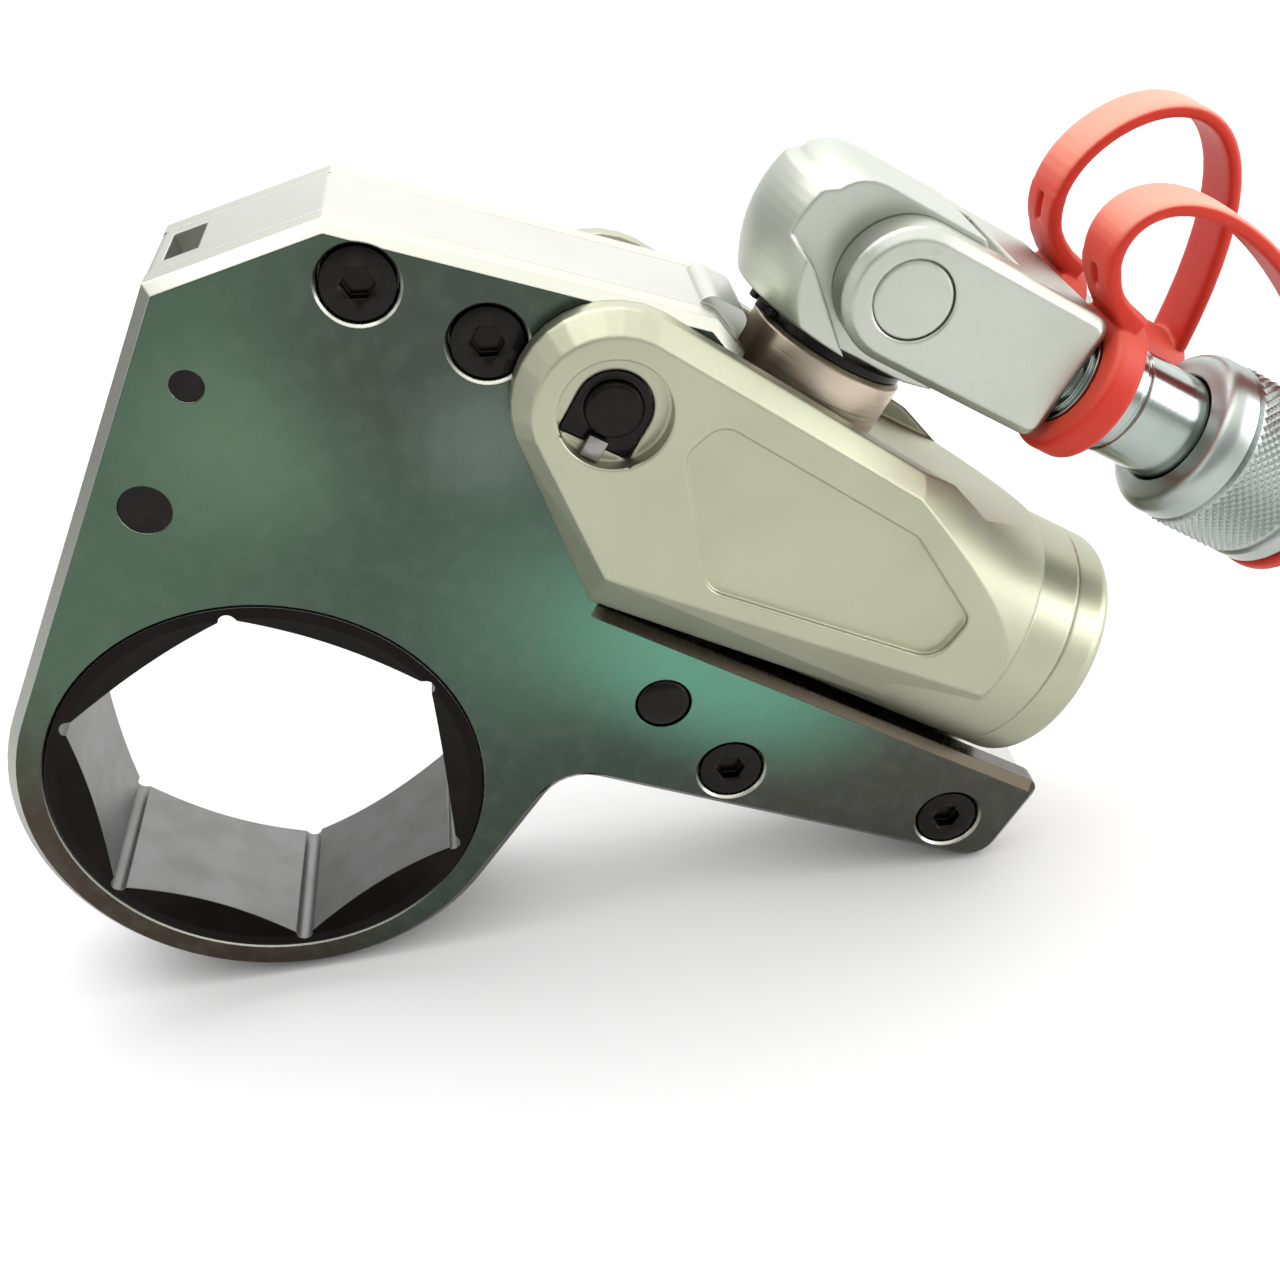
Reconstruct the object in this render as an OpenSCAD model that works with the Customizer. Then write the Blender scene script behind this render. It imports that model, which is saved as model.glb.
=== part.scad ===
// Hydraulic torque wrench: a low-profile ratchet link held in the fork of a power head with a swivel.
// Every piece is drawn in the barrel frame: X along the barrel, Z up from the hexagon's axis to the barrel,
// front face to -Y. stand() then turns the tool so that it stands on its nose and on the tip of its arm.

/* [Ratchet link] */
// Hexagon size across flats
hex_af = 65; // [60:1:68]
// Width of the link over both side plates
link_w = 32; // [31:0.5:36]
// Thickness of one side plate
plate_t = 6; // [5:0.25:7]
// Wall from the hexagon's flat to the plates' hole
socket_wall = 7; // [6:0.25:8]
// Width of the plate round the socket hole
nose_wall = 6.5; // [6:0.25:9]
// Bevel round the outer face of a side plate
plate_bevel = 1.8; // [0.5:0.1:2.5]
// Height of the barrel's axis over the hexagon's axis
drive_h = 81.6; // [80:0.5:88]
// Reach of the arm from the hexagon's axis
arm_reach = 139; // [130:1:150]
// Depth of the arm at its tip
arm_tip_depth = 21; // [18:0.5:24]
// Number of ratchet teeth
tooth_count = 48; // [40:4:56]
// Depth of a ratchet tooth
tooth_depth = 2.2; // [1.6:0.1:2.4]
// Radius of a link screw's shank
screw_r = 4; // [3:0.25:4.25]
// Radius of a link screw's head
screw_head_r = 6; // [5:0.25:6.5]

/* [Power head] */
// Slope of the barrel when the tool stands on a floor
head_angle = 35.2; // [34:0.1:36]
// Outer radius of the barrel
barrel_r = 23.2; // [22:0.1:24]
// Radius of the piston bore
bore_r = 14.5; // [13:0.25:15.5]
// Width of the head over its cheeks
head_w = 47; // [45:0.5:52]
// X of the parting line between the barrel and its end cap
barrel_end = 117.7; // [116:0.1:124]
// Length of the end cap outside the barrel
cap_len = 8.8; // [7:0.1:11]
// Radius of the piston rod
rod_r = 8; // [6.5:0.25:8.25]
// Radius of the cross pin in the rod's eye
rod_pin_r = 5; // [4:0.1:5.25]
// Stroke of the piston
stroke = 32.4; // [28:0.1:33]
// Radius of the pin that holds the link in the fork
link_pin_r = 5; // [4:0.1:5.25]

/* [Swivel] */
// X of the swivel post
post_x = 54.5; // [53:0.5:58]
// Radius of the post's base
post_r = 14.4; // [13:0.1:15.5]
// Height of the yoke's pivot over the barrel's axis
pivot_h = 52; // [51:0.5:56]
// Width of the yoke
yoke_w = 41; // [40:0.5:46]
// Height of the yoke
yoke_h = 22.8; // [21:0.2:24]
// Length of the yoke from its pivot to its end face
yoke_len = 33; // [31:0.5:36]
// Radius of a pivot pin
pivot_r = 6.7; // [5.5:0.1:7.5]
// Distance between the couplers
coupler_pitch = 27; // [26.5:0.25:29]
// Radius of a coupler's body
coupler_r = 9.5; // [9:0.1:10.5]
// Radius of the knurled collar
collar_r = 15.2; // [13.6:0.1:15.4]
// Length of the knurled collar
collar_len = 26.4; // [20:0.2:28]
// Width of a dust cap's strap
strap_w = 12; // [6:0.5:13]
// Thickness of a dust cap's strap
strap_t = 2.6; // [2:0.1:3]

/* [Fits] */
// Radial clearance of a piece that turns or slides in its seat
run_gap = 0.08; // [0.03:0.01:0.1]
// Radial clearance of a piece that is seated for good
seat_gap = 0.06; // [0.03:0.01:0.1]
// Clearance between pieces that pass each other
side_gap = 0.3; // [0.2:0.05:0.5]

/* [Hidden] */
$fn = 96;
eps = 0.01;

// Link: half widths, from the outside to the middle
link_y = link_w / 2;
gap_y = link_y - plate_t;
lever_out = gap_y - side_gap;
lever_t = 3.4;
lever_in = lever_out - lever_t;
pawl_y = lever_in - side_gap;

// Socket and nose
hole_r = hex_af / 2 + socket_wall;
journal_r = hole_r - run_gap;
nose_r = hole_r + nose_wall;
hex_turn = 37.5 - head_angle;
tooth_tip = hole_r + nose_wall * 0.54;
tooth_root = tooth_tip - tooth_depth;
lever_ring_r = hole_r + nose_wall - 1;
hex_corner_r = hex_af / 2 / cos(30);
chamfer_r = hex_corner_r - 0.2;
chamfer_w = 6;
chamfer_slope = 30;
groove_r = 1.6;
pitch = 360 / tooth_count;

// Arm and the edges of the link
barrel_gap = 0.5;
arm_top = drive_h - sqrt(pow(barrel_r + barrel_gap, 2) - gap_y * gap_y);
fork_wall = 2.6;
fork_x = post_x - post_r - fork_wall;
link_end = fork_x - 2 * side_gap;
corner = [-(nose_r + 6), drive_h - 0.3];
apex = [-(nose_r - 14), drive_h + 21.1];
top_slope = 11.8;
top_end_x = link_end - 6.9;
top_end = [top_end_x, apex[1] + (top_end_x - apex[0]) * tan(top_slope)];
top_drop = 3;
arm_low = [nose_r + 3, arm_top - 35];
arm_tip_low = arm_top - arm_tip_depth;
bend_r = 9;
tip_low_r = 6;
tip_top_r = 2.5;
// Where a bevel stops short of a rounded corner
bevel_stop = 0.6;
// Top strip: slot near its low corner and lug at the fork
strip_slot_at = 2.2;
strip_slot = [6, 13, 6];
lug_w = 9;
lug_half = 8;
lug_rise = 1.6;
lug_root = 10;
block_x = 66;

// Screws and pins of the link
arm_screw_x = 78;
screw_at = [
    [apex[0] + 8.7, drive_h + 14.4], [apex[0] + 30.6, drive_h + 14.6],
    [arm_screw_x, arm_top - 21.4], [arm_reach - 14, arm_top - 14.2]
];
head_depth = 4;
head_gap = 0.4;
head_sunk = 0.5;
key_r = screw_r * 0.7;
key_depth = 2.4;
pin_sunk = 0.3;
rim_c = 0.5;
dowel_at = [corner[0] + 11.6, drive_h - 12.3];
dowel_r = 2.7;
stop_at = [corner[0] + 13, drive_h - 35.7];
stop_r = 4.35;
button_at = [58.2, arm_top - 13];
button_r = 5;
button_stem_r = 3;
button_rise = 1.4;
button_ball_r = (button_r * button_r + button_rise * button_rise) / (2 * button_rise);

// Lever, pawls and their springs
rod_y = pawl_y;
// The rod's pin ends its stroke this far beyond the upright of the lever
stroke_beyond = 17.9;
lever_rest = asin((stroke - stroke_beyond) / (drive_h + 1.2));
lever_pin = drive_h / cos(lever_rest) - 0.1;
rod_pin_x = lever_pin * sin(lever_rest);
lever_top = lever_pin + 1.4;
lever_top_half = 10.8;
bridge_top = drive_h - rod_r - 2.2;
bridge_low = tooth_tip + 13.6;
bridge_half = 15;
pawl_half = 11;
pawl_lift = tooth_depth + side_gap;
pawl_top = bridge_low - pawl_lift - 1;
spring_hole_r = 2.6;
spring_hole_up = 3;
spring_hole_down = 4;
spring_wire = 0.45;
// Steep flank that the catch meets, and the turn that lifts it over the crests
hold_flank = 90 - 0.1 * pitch - lever_rest - round(37.5 / pitch) * pitch;
hold_lift = 9.5;
hold_steps = 6;
hold_pivot_r = 2.6;
hold_boss_r = 4.6;
hold_reach = tooth_tip + hold_boss_r + 2.035;
hold_trail = 15.344;
hold_pivot = hold_reach * [cos(hold_flank - hold_trail), sin(hold_flank - hold_trail)];
hold_arm = [3.7, 2.7];

// Power head
half_w = head_w / 2;
slot_y = link_y + side_gap;
pin_at = [20.4, drive_h + 15.2];
pin_recess_r = 9.4;
pin_recess_d = 3.2;
pin_slot_d = 5.6;
pin_slot_low = pin_recess_r - 2.2;
pin_head_r = 6.2;
pin_head_y = 3.4;
pin_end_y = 1.8;
clip_w = 3.5;
clip_t = 1.55;
cheek_end_r = 13.2;
cheek_x = 113;
cheek_z = [-4, 21];
cheek_low_at = [33, -11.8];
cheek_top_at = [20, 26.9];
cheek_edge = 3.9;
cheek_low = 4.6;
cheek_lower = 8.4;
cheek_high = 3.4;
cone_slope = 0.295;
cone_end = 109;
cone_r = barrel_r + 0.3;
gland_len = 12;
gland_groove = [5, 8];
gland_groove_d = 2.2;
piston_len = 22;
piston_groove = [9, 13];
piston_groove_d = 2.4;
piston_x = barrel_end - 8 - piston_len;
cap_spigot = 5.5;
post_seat = drive_h + barrel_r - 0.8;
post_top = drive_h + 35.7;
valley_z = post_seat + 1.2;
pocket_depth = 1.2;
cap_round = 3.2;
spanner_r = 2;
spanner_depth = 4;

// Swivel
pivot_z = drive_h + pivot_h;
spigot_r = 8.5;
block_core = 12.5;
leg_in = block_core + side_gap;
yoke_y = yoke_w / 2;
block_low = post_top + 2.2;
block_top = pivot_z + 12.4;
ball_r = 24.2;
ring_t = 1.2;
yoke_end = post_x + yoke_len;
web_in = 15.6;
yoke_round = 3;
yoke_bevel = 1.6;
foot_y = yoke_y - 4;
ring_step = 0.2;
seal_w = 2;
seal_d = 1.5;
pivot_end = spigot_r + 1.6;
pivot_hollow_r = 2;

// Couplers and dust caps
coupler_y = coupler_pitch / 2;
neck_r = 7.5;
spigot_len = 9.5;
coupler_spigot_r = 6.2;
cap_seat_r = coupler_r - 0.9;
cap_ring_x = yoke_end + 1;
cap_ring_w = 6;
cap_ring_r = coupler_pitch / 2 - 0.1;
cap_round_c = 0.8;
coupler_groove = cap_ring_x + cap_ring_w + 3.6;
coupler_groove_d = 0.5;
collar_x = yoke_end + 24;
collar_step = 2.8;
collar_shoulder = [2.6, 3];
near_tip = collar_x + collar_len - 1;
flange_r = collar_r - 3.1;
flange_x = collar_x + collar_step + 0.4;
plug_r = 8;
plug_len = 7;
plug_room = 9;
near_cap_x = collar_x + collar_len + side_gap;
near_cap_r = collar_r + 0.2;
near_cap_t = 3;
near_knob = [10, 9, 5];
far_nipple_x = yoke_end + 15.5;
far_tip = yoke_end + 30.5;
nipple_r = 7.2;
far_cup_r = coupler_pitch - collar_r - 1;
far_cup_t = 3;
strap_root = [cap_ring_x + cap_ring_w / 2, pivot_z + cap_ring_r - 1];
near_strap = [
    strap_root, [yoke_end - 19.5, pivot_z + 17.4], [yoke_end - 7.5, pivot_z + 55.4],
    [near_cap_x + near_cap_t - 0.2, pivot_z + near_cap_r]
];
far_strap = [
    strap_root, [yoke_end - 28.8, pivot_z + 19.4], [yoke_end + 15.9, pivot_z + 83.1],
    [far_tip + 0.5, pivot_z + far_cup_r - 1]
];

// Colours as seen
plate_colour = [0.42, 0.47, 0.45];
edge_colour = [0.88, 0.88, 0.86];
head_colour = [0.76, 0.75, 0.68];
black_colour = [0.09, 0.08, 0.08];
post_colour = [0.45, 0.4, 0.37];
chrome_colour = [0.8, 0.82, 0.83];
rubber_colour = [0.85, 0.25, 0.17];
steel_colour = [0.62, 0.63, 0.64];
seal_colour = [0.15, 0.15, 0.16];

// Unit vector and its left-hand normal
function unit(v) = v / norm(v);
function left(v) = [-v[1], v[0]];

// Points of an arc round c
function arc(c, r, a0, a1, n) = [
    for (i = [0:n])
        let (a = a0 + (a1 - a0) * i / n)
        c + r * [cos(a), sin(a)]
];

// Corner p1 between p0 and p2 rounded with radius r
function fillet(p0, p1, p2, r, n) =
    let (
        u = unit(p0 - p1),
        v = unit(p2 - p1),
        half = acos(max(-1, min(1, u * v))) / 2,
        c = p1 + unit(u + v) * r / sin(half),
        s = p1 + u * r / tan(half) - c,
        e = p1 + v * r / tan(half) - c,
        a0 = atan2(s[1], s[0]),
        turn = atan2(s[0] * e[1] - s[1] * e[0], s * e)
    )
    arc(c, r, a0, a0 + turn, n);

// Closed outline from [x, y, radius] corners; a radius of 0 keeps the corner sharp
function outline(corners, n = 8) = [
    for (i = [0:len(corners) - 1])
        let (
            m = len(corners),
            a = corners[(i + m - 1) % m],
            b = corners[i],
            c = corners[(i + 1) % m],
            p = [b[0], b[1]]
        )
        for (q = b[2] > 0 ? fillet([a[0], a[1]], p, [c[0], c[1]], b[2], n) : [p]) q
];

// Outline moved inwards by d, mitred at its corners (points run counter-clockwise)
function inset(pts, d) = [
    for (i = [0:len(pts) - 1])
        let (
            m = len(pts),
            n1 = left(unit(pts[i] - pts[(i + m - 1) % m])),
            n2 = left(unit(pts[(i + 1) % m] - pts[i]))
        )
        pts[i] + d * (n1 + n2) / (1 + n1 * n2)
];

// Cubic curve through a strap's or a hook's control points
function bezier(p, n) = [
    for (i = [0:n])
        let (t = i / n, u = 1 - t)
        u * u * u * p[0] + 3 * u * u * t * p[1] + 3 * u * t * t * p[2] + t * t * t * p[3]
];

// Band of thickness t along a row of points
function band(pts, t) =
    let (
        m = len(pts),
        n = [for (i = [0:m - 1]) left(unit(pts[min(m - 1, i + 1)] - pts[max(0, i - 1)]))]
    )
    concat(
        [for (i = [0:m - 1]) pts[i] - n[i] * t / 2],
        [for (i = [m - 1:-1:0]) pts[i] + n[i] * t / 2]
    );

// Turns the barrel frame so that the tool stands on its nose and arm
module stand() {
    rotate([0, head_angle, 0]) children();
}

// Flat XZ shape made solid from y0 to y1
module slab(y0, y1) {
    translate([0, y1, 0]) rotate([90, 0, 0]) linear_extrude(height = y1 - y0) children();
}

// Round bar along Y at p, from y0 to y1
module bar_y(p, r, y0, y1) {
    translate([p[0], y1, p[1]]) rotate([90, 0, 0]) cylinder(r = r, h = y1 - y0);
}

// Profile of [radius, x] points turned round an axis along X
module turned_x(profile, y = 0, z = 0) {
    translate([0, y, z]) rotate([0, 90, 0]) rotate_extrude() polygon(profile);
}

// Profile of [radius, y] points turned round an axis along Y at p
module turned_y(p, profile) {
    translate([p[0], 0, p[1]]) rotate([-90, 0, 0]) rotate_extrude() polygon(profile);
}

// Both sides of the tool
module both_sides() {
    children();
    mirror([0, 1, 0]) children();
}

// Plate in front of y_in, with a bevel c round its outer face at -y_out
module bevelled_plate(pts, y_in, y_out, c) {
    n = len(pts);
    ring = [for (p = pts) [p[0], -y_in, p[1]]];
    edge = [for (p = pts) [p[0], -(y_out - c), p[1]]];
    face = [for (p = inset(pts, c)) [p[0], -y_out, p[1]]];
    polyhedron(
        points = concat(ring, edge, face),
        faces = concat(
            [[for (i = [0:n - 1]) i]],
            [[for (i = [n - 1:-1:0]) 2 * n + i]],
            [for (k = [0, n]) for (i = [0:n - 1])
                let (j = (i + 1) % n)
                [k + n + i, k + n + j, k + j, k + i]]
        )
    );
}

// Coil spring from the origin along Z
module coil(r, wire, length, turns, sides = 6, steps = 10) {
    m = turns * steps;
    points = [
        for (i = [0:m]) for (k = [0:sides - 1])
            let (a = 360 * i / steps, b = 360 * k / sides, q = r + wire * cos(b))
            [q * cos(a), q * sin(a), wire + (length - 2 * wire) * i / m + wire * sin(b)]
    ];
    polyhedron(
        points = points,
        faces = concat(
            [[for (k = [0:sides - 1]) k]],
            [[for (k = [sides - 1:-1:0]) m * sides + k]],
            [for (i = [0:m - 1]) for (k = [0:sides - 1])
                let (a = i * sides, b = a + sides, j = (k + 1) % sides)
                [a + k, b + k, b + j, a + j]]
        )
    );
}

// Where a line from p touches a circle of radius r round the origin
function tangent(p, r, side) =
    let (a = atan2(p[1], p[0]) + side * acos(r / norm(p)))
    r * [cos(a), sin(a)];

// What the bevel takes off the outer face's edge from p to q
module edge_waste(p, q) {
    d = q - p;
    c = plate_bevel * sqrt(2);
    translate([p[0], -link_y, p[1]]) rotate([0, -atan2(d[1], d[0]), 0]) rotate([45, 0, 0])
        translate([0, -c / 2, -c / 2]) cube([norm(d), c, c]);
}

// Round nose of a side plate, with the same bevel
module plate_disc(p, r) {
    c = plate_bevel;
    turned_y(p, [[0, -link_y], [r - c, -link_y], [r, c - link_y], [r, -gap_y], [0, -gap_y]]);
}

// What the bevel takes off a run of outer edges, past both ends of each
module run_waste(points) {
    over = 2 * plate_bevel;
    for (i = [0:len(points) - 2]) {
        d = unit(points[i + 1] - points[i]) * over;
        edge_waste(points[i] - d, points[i + 1] + d);
    }
}

// Side plate without its holes
module plate_blank() {
    low_l = tangent(corner, nose_r, 1);
    low_r = tangent(arm_low, nose_r, -1);
    tip_low = [arm_reach, arm_tip_low];
    tip_top = [arm_reach, arm_top];
    inner = [link_end, arm_top];
    bend = fillet(low_r, arm_low, tip_low, bend_r, 6);
    tip = concat(
        fillet(arm_low, tip_low, tip_top, tip_low_r, 5),
        fillet(tip_low, tip_top, inner, tip_top_r, 3)
    );
    crown = [[link_end, top_end[1] - top_drop], top_end, apex, corner, low_l];
    top_run = [for (i = [0:3]) crown[i]];
    along = unit(tip_low - arm_low);
    union() {
        plate_disc([0, 0], nose_r);
        difference() {
            slab(-link_y, -gap_y) polygon(concat([low_l, low_r], bend, tip, [inner], top_run));
            edge_waste(low_r, bend[0] + unit(low_r - arm_low) * bevel_stop);
            edge_waste(bend[len(bend) - 1] + along * bevel_stop, tip[0] + along);
            run_waste(tip);
            edge_waste(tip[len(tip) - 1] + [1, 0], inner);
            run_waste(crown);
        }
    }
}

// Cuts that both side plates share
module plate_cuts() {
    l = link_y + eps;
    turned_y([0, 0], [
        [0, -l], [hole_r + rim_c, -l], [hole_r, rim_c - l],
        [hole_r, l - rim_c], [hole_r + rim_c, l], [0, l]
    ]);
    bar_y(pin_at, link_pin_r + run_gap, -l, l);
    bar_y(dowel_at, dowel_r + seat_gap, -l, l);
    bar_y(stop_at, stop_r + seat_gap, -l, l);
    bar_y(hold_pivot, hold_pivot_r + seat_gap, -gap_y - plate_t / 2, gap_y + plate_t / 2);
}

module front_side_plate() {
    l = link_y + eps;
    head = screw_head_r + head_gap;
    floor_y = head_depth - link_y;
    shank = screw_r + seat_gap;
    color(plate_colour) stand() difference() {
        plate_blank();
        plate_cuts();
        bar_y(button_at, button_r + side_gap, -l, eps - gap_y);
        for (p = screw_at) turned_y(p, [
            [0, -l], [head + rim_c, -l], [head, rim_c - l], [head, floor_y],
            [shank, floor_y], [shank, 0], [0, 0]
        ]);
    }
}

module rear_side_plate() {
    color(plate_colour) stand() difference() {
        mirror([0, 1, 0]) plate_blank();
        plate_cuts();
        for (p = screw_at) bar_y(p, screw_r + seat_gap, 0, link_y + eps);
    }
}

// Strip along the top of the link, with a lug at the fork and a slot near its low corner
module top_spacer() {
    y = gap_y - seat_gap;
    under = drive_h + rod_r + 0.8;
    lug_top = top_end[1] + lug_rise;
    lug_low = top_end[1] - lug_root;
    strip = unit(apex - corner);
    color(edge_colour) stand() difference() {
        union() {
            slab(-y, y) polygon(outline([
                [corner[0] + 0.6, corner[1] - 8, 1.5],
                [corner[0] + 9, corner[1] - 5, 2],
                [apex[0] + 3, under, 3],
                [link_end, under, 0],
                [link_end, top_end[1] - top_drop, 2.5],
                [top_end[0], top_end[1], 4],
                [apex[0], apex[1], 1.5],
                [corner[0], corner[1], 2]
            ], 6));
            slab(-lug_half, lug_half) polygon(outline([
                [link_end - lug_w, lug_low, 0],
                [link_end, lug_low, 0],
                [link_end, lug_top, 2.5],
                [link_end - lug_w, lug_top, 2.5]
            ], 6));
        }
        for (i = [0, 1]) bar_y(screw_at[i], screw_r + seat_gap, -link_y, link_y);
        bar_y(pin_at, link_pin_r + run_gap, -link_y, link_y);
        translate([corner[0], 0, corner[1]]) rotate([0, -atan2(strip[1], strip[0]), 0])
            translate([strip_slot_at, 0.5 - strip_slot[1] / 2, -4]) cube(strip_slot);
    }
}

// Solid filling of the arm, under the barrel
module reaction_block() {
    y = gap_y - seat_gap;
    lower = (arm_tip_low - arm_low[1]) / (arm_reach - arm_low[0]);
    top = min(arm_top - 1, drive_h - barrel_r - barrel_gap);
    color(edge_colour) stand() difference() {
        slab(-y, y) polygon(outline([
            [block_x, arm_low[1] + lower * (block_x - arm_low[0]), 0],
            [arm_reach, arm_tip_low, tip_low_r],
            [arm_reach, top, 1],
            [block_x, top, 3]
        ], 6));
        for (i = [2, 3]) bar_y(screw_at[i], screw_r + seat_gap, -link_y, link_y);
    }
}

// Four cap screws from the front plate into the rear plate
module link_screws() {
    color(black_colour) stand() for (p = screw_at) difference() {
        union() {
            bar_y(p, screw_head_r, head_sunk - link_y, head_depth - link_y - 2 * eps);
            bar_y(p, screw_r, head_depth - link_y - 0.1, link_y - 0.8);
        }
        translate([p[0], head_sunk + key_depth - link_y, p[1]]) rotate([90, 0, 0])
            cylinder(r = key_r, h = 2 * key_depth, $fn = 6);
    }
}

module spacer_dowel() {
    color(black_colour) stand() bar_y(dowel_at, dowel_r, pin_sunk - link_y, link_y - pin_sunk);
}

module lever_stop_pin() {
    color(black_colour) stand() bar_y(stop_at, stop_r, pin_sunk - link_y, link_y - pin_sunk);
}

// Saw teeth round the socket: the steep flanks take the pawl's push
function ratchet_outline(grow = 0) = [
    for (i = [0:tooth_count - 1])
        let (a = i * pitch + 90 - 0.1 * pitch)
        for (q = [[tooth_root, 0], [tooth_tip, 0.12], [tooth_tip, 0.22]])
            (q[0] + grow) * [cos(a + q[1] * pitch), sin(a + q[1] * pitch)]
];

module ratchet_socket() {
    face = link_y;
    color([0.13, 0.13, 0.14]) stand() difference() {
        union() {
            bar_y([0, 0], journal_r, -face, face);
            rotate([0, lever_rest, 0]) slab(-pawl_y, pawl_y) polygon(ratchet_outline());
        }
        rotate([0, -hex_turn, 0]) rotate([90, 0, 0])
            cylinder(r = hex_corner_r, h = link_w + 1, center = true, $fn = 6);
        for (a = [hex_turn:60:hex_turn + 300])
            bar_y((hex_corner_r - groove_r * 0.6) * [cos(a), sin(a)], groove_r, -face - eps, face + eps);
        both_sides() translate([0, -face - eps, 0]) rotate([-90, 0, 0])
            cylinder(r1 = chamfer_r, r2 = chamfer_r - chamfer_w, h = chamfer_w * tan(chamfer_slope));
    }
}

// Lever's own frame: Z from the hexagon's axis to the rod's pin
module lever_frame() {
    stand() rotate([0, lever_rest, 0]) children();
}

// Two arms on the socket's journals, joined by a bridge that guides the pawl
module drive_lever() {
    notch = rod_pin_r + 0.25;
    // The pin comes nearer to the hexagon in the middle of its stroke
    pin_drop = lever_pin - drive_h + 0.4;
    color(steel_colour) lever_frame() difference() {
        union() {
            both_sides() {
                bar_y([0, 0], lever_ring_r, -lever_out, -lever_in);
                slab(-lever_out, -lever_in) polygon(outline([
                    [lever_ring_r - 1, 0, 0],
                    [lever_top_half, lever_top, 1.5],
                    [-lever_top_half, lever_top, 1.5],
                    [1 - lever_ring_r, 0, 0]
                ], 4));
            }
            slab(-lever_in - eps, lever_in + eps) difference() {
                polygon([
                    [-bridge_half, tooth_tip + 3], [bridge_half, tooth_tip + 3],
                    [bridge_half - 2, bridge_top], [2 - bridge_half, bridge_top]
                ]);
                translate([-pawl_half - side_gap, 0]) square([2 * (pawl_half + side_gap), bridge_low]);
            }
        }
        bar_y([0, 0], hole_r, -link_y, link_y);
        bar_y([0, 0], tooth_tip + side_gap, -lever_in, lever_in);
        slab(-link_y, link_y) union() {
            translate([0, lever_pin - pin_drop]) circle(r = notch);
            translate([-notch, lever_pin - pin_drop]) square([2 * notch, 10]);
        }
        for (x = [-1, 1]) translate([x * pawl_half / 2, 0, bridge_low - eps])
            cylinder(r = spring_hole_r, h = spring_hole_up);
    }
}

// Toothed shoe that the lever pushes against the ratchet, drawn lifted clear of the teeth
module drive_pawl() {
    y = pawl_y;
    color(steel_colour) lever_frame() translate([0, 0, pawl_lift]) difference() {
        slab(-y, y) difference() {
            translate([-pawl_half, 0]) square([2 * pawl_half, pawl_top]);
            polygon(ratchet_outline(0.1));
        }
        for (x = [-1, 1]) translate([x * pawl_half / 2, 0, pawl_top - spring_hole_down])
            cylinder(r = spring_hole_r, h = spring_hole_down + 1);
    }
}

module drive_pawl_springs() {
    low = pawl_top + pawl_lift - spring_hole_down + 0.1;
    high = bridge_low + spring_hole_up - 0.1;
    color(steel_colour) lever_frame() for (x = [-1, 1])
        translate([x * pawl_half / 2, 0, low]) coil(1.9, spring_wire, high - low, 5);
}

// Catch that keeps the socket from turning back, drawn lifted clear of the teeth
module holding_pawl() {
    y = pawl_y;
    a = hold_flank;
    color(steel_colour) stand() translate([hold_pivot[0], 0, hold_pivot[1]]) rotate([0, hold_lift, 0])
        translate([-hold_pivot[0], 0, -hold_pivot[1]]) difference() {
            union() {
                slab(-y, y) difference() {
                    polygon([
                        (tooth_root - 0.5) * [cos(a), sin(a)],
                        (tooth_tip + 0.5) * [cos(a - 0.74 * pitch), sin(a - 0.74 * pitch)],
                        hold_pivot - hold_arm,
                        hold_pivot + hold_arm,
                        (tooth_tip + 6) * [cos(a + 0.3 * pitch), sin(a + 0.3 * pitch)],
                        (tooth_tip + 1) * [cos(a + 0.16 * pitch), sin(a + 0.16 * pitch)]
                    ]);
                    // The nose is formed by the teeth over the whole of its own turn
                    for (k = [0:hold_steps])
                        translate(hold_pivot) rotate(k * hold_lift / hold_steps) translate(-hold_pivot)
                            rotate(-lever_rest) polygon(ratchet_outline(0.15));
                }
                bar_y(hold_pivot, hold_boss_r, -y, y);
            }
            bar_y(hold_pivot, hold_pivot_r + run_gap, -link_y, link_y);
        }
}

module holding_pawl_pivot() {
    y = gap_y + plate_t / 2 - 0.1;
    color(steel_colour) stand() bar_y(hold_pivot, hold_pivot_r, -y, y);
}

// Torsion spring round the catch's pivot, behind the catch
module holding_pawl_spring() {
    color(steel_colour) stand() translate([hold_pivot[0], gap_y - 0.2, hold_pivot[1]]) rotate([90, 0, 0])
        coil(hold_pivot_r + 2 * spring_wire + 0.05, spring_wire, gap_y - pawl_y - 0.5, 3);
}

// Domed button in the front plate
module release_button() {
    color(black_colour) stand() translate([button_at[0], 0, button_at[1]]) rotate([90, 0, 0]) {
        translate([0, 0, gap_y + 0.4]) cylinder(r = button_r, h = plate_t - 0.9);
        translate([0, 0, link_y - 0.5]) intersection() {
            translate([0, 0, button_rise - button_ball_r]) sphere(r = button_ball_r);
            cylinder(r = button_r, h = 2 * button_rise);
        }
        translate([0, 0, 2]) cylinder(r = button_stem_r, h = gap_y);
    }
}

module button_spring() {
    color(steel_colour) stand() translate([button_at[0], gap_y - 0.1, button_at[1]]) rotate([90, 0, 0])
        coil(2.2, 0.5, gap_y + 1.8, 6);
}

// Side view of the head: lower corner, upper edge and round fork end, each set back by its chamfer
module head_side(y, low, high, round_r) {
    slab(-y, y) {
        translate(pin_at) circle(r = round_r, $fn = 32);
        polygon([
            [cheek_low_at[0] + low / 4, drive_h + cheek_low_at[1] - low],
            [cheek_x, drive_h + cheek_z[0] - low * 1.35], [cheek_x, drive_h + cheek_z[1] + high],
            [pin_at[0] + cheek_top_at[0], drive_h + cheek_top_at[1] + high], [pin_at[0], pin_at[1] + round_r]
        ]);
    }
}

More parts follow.
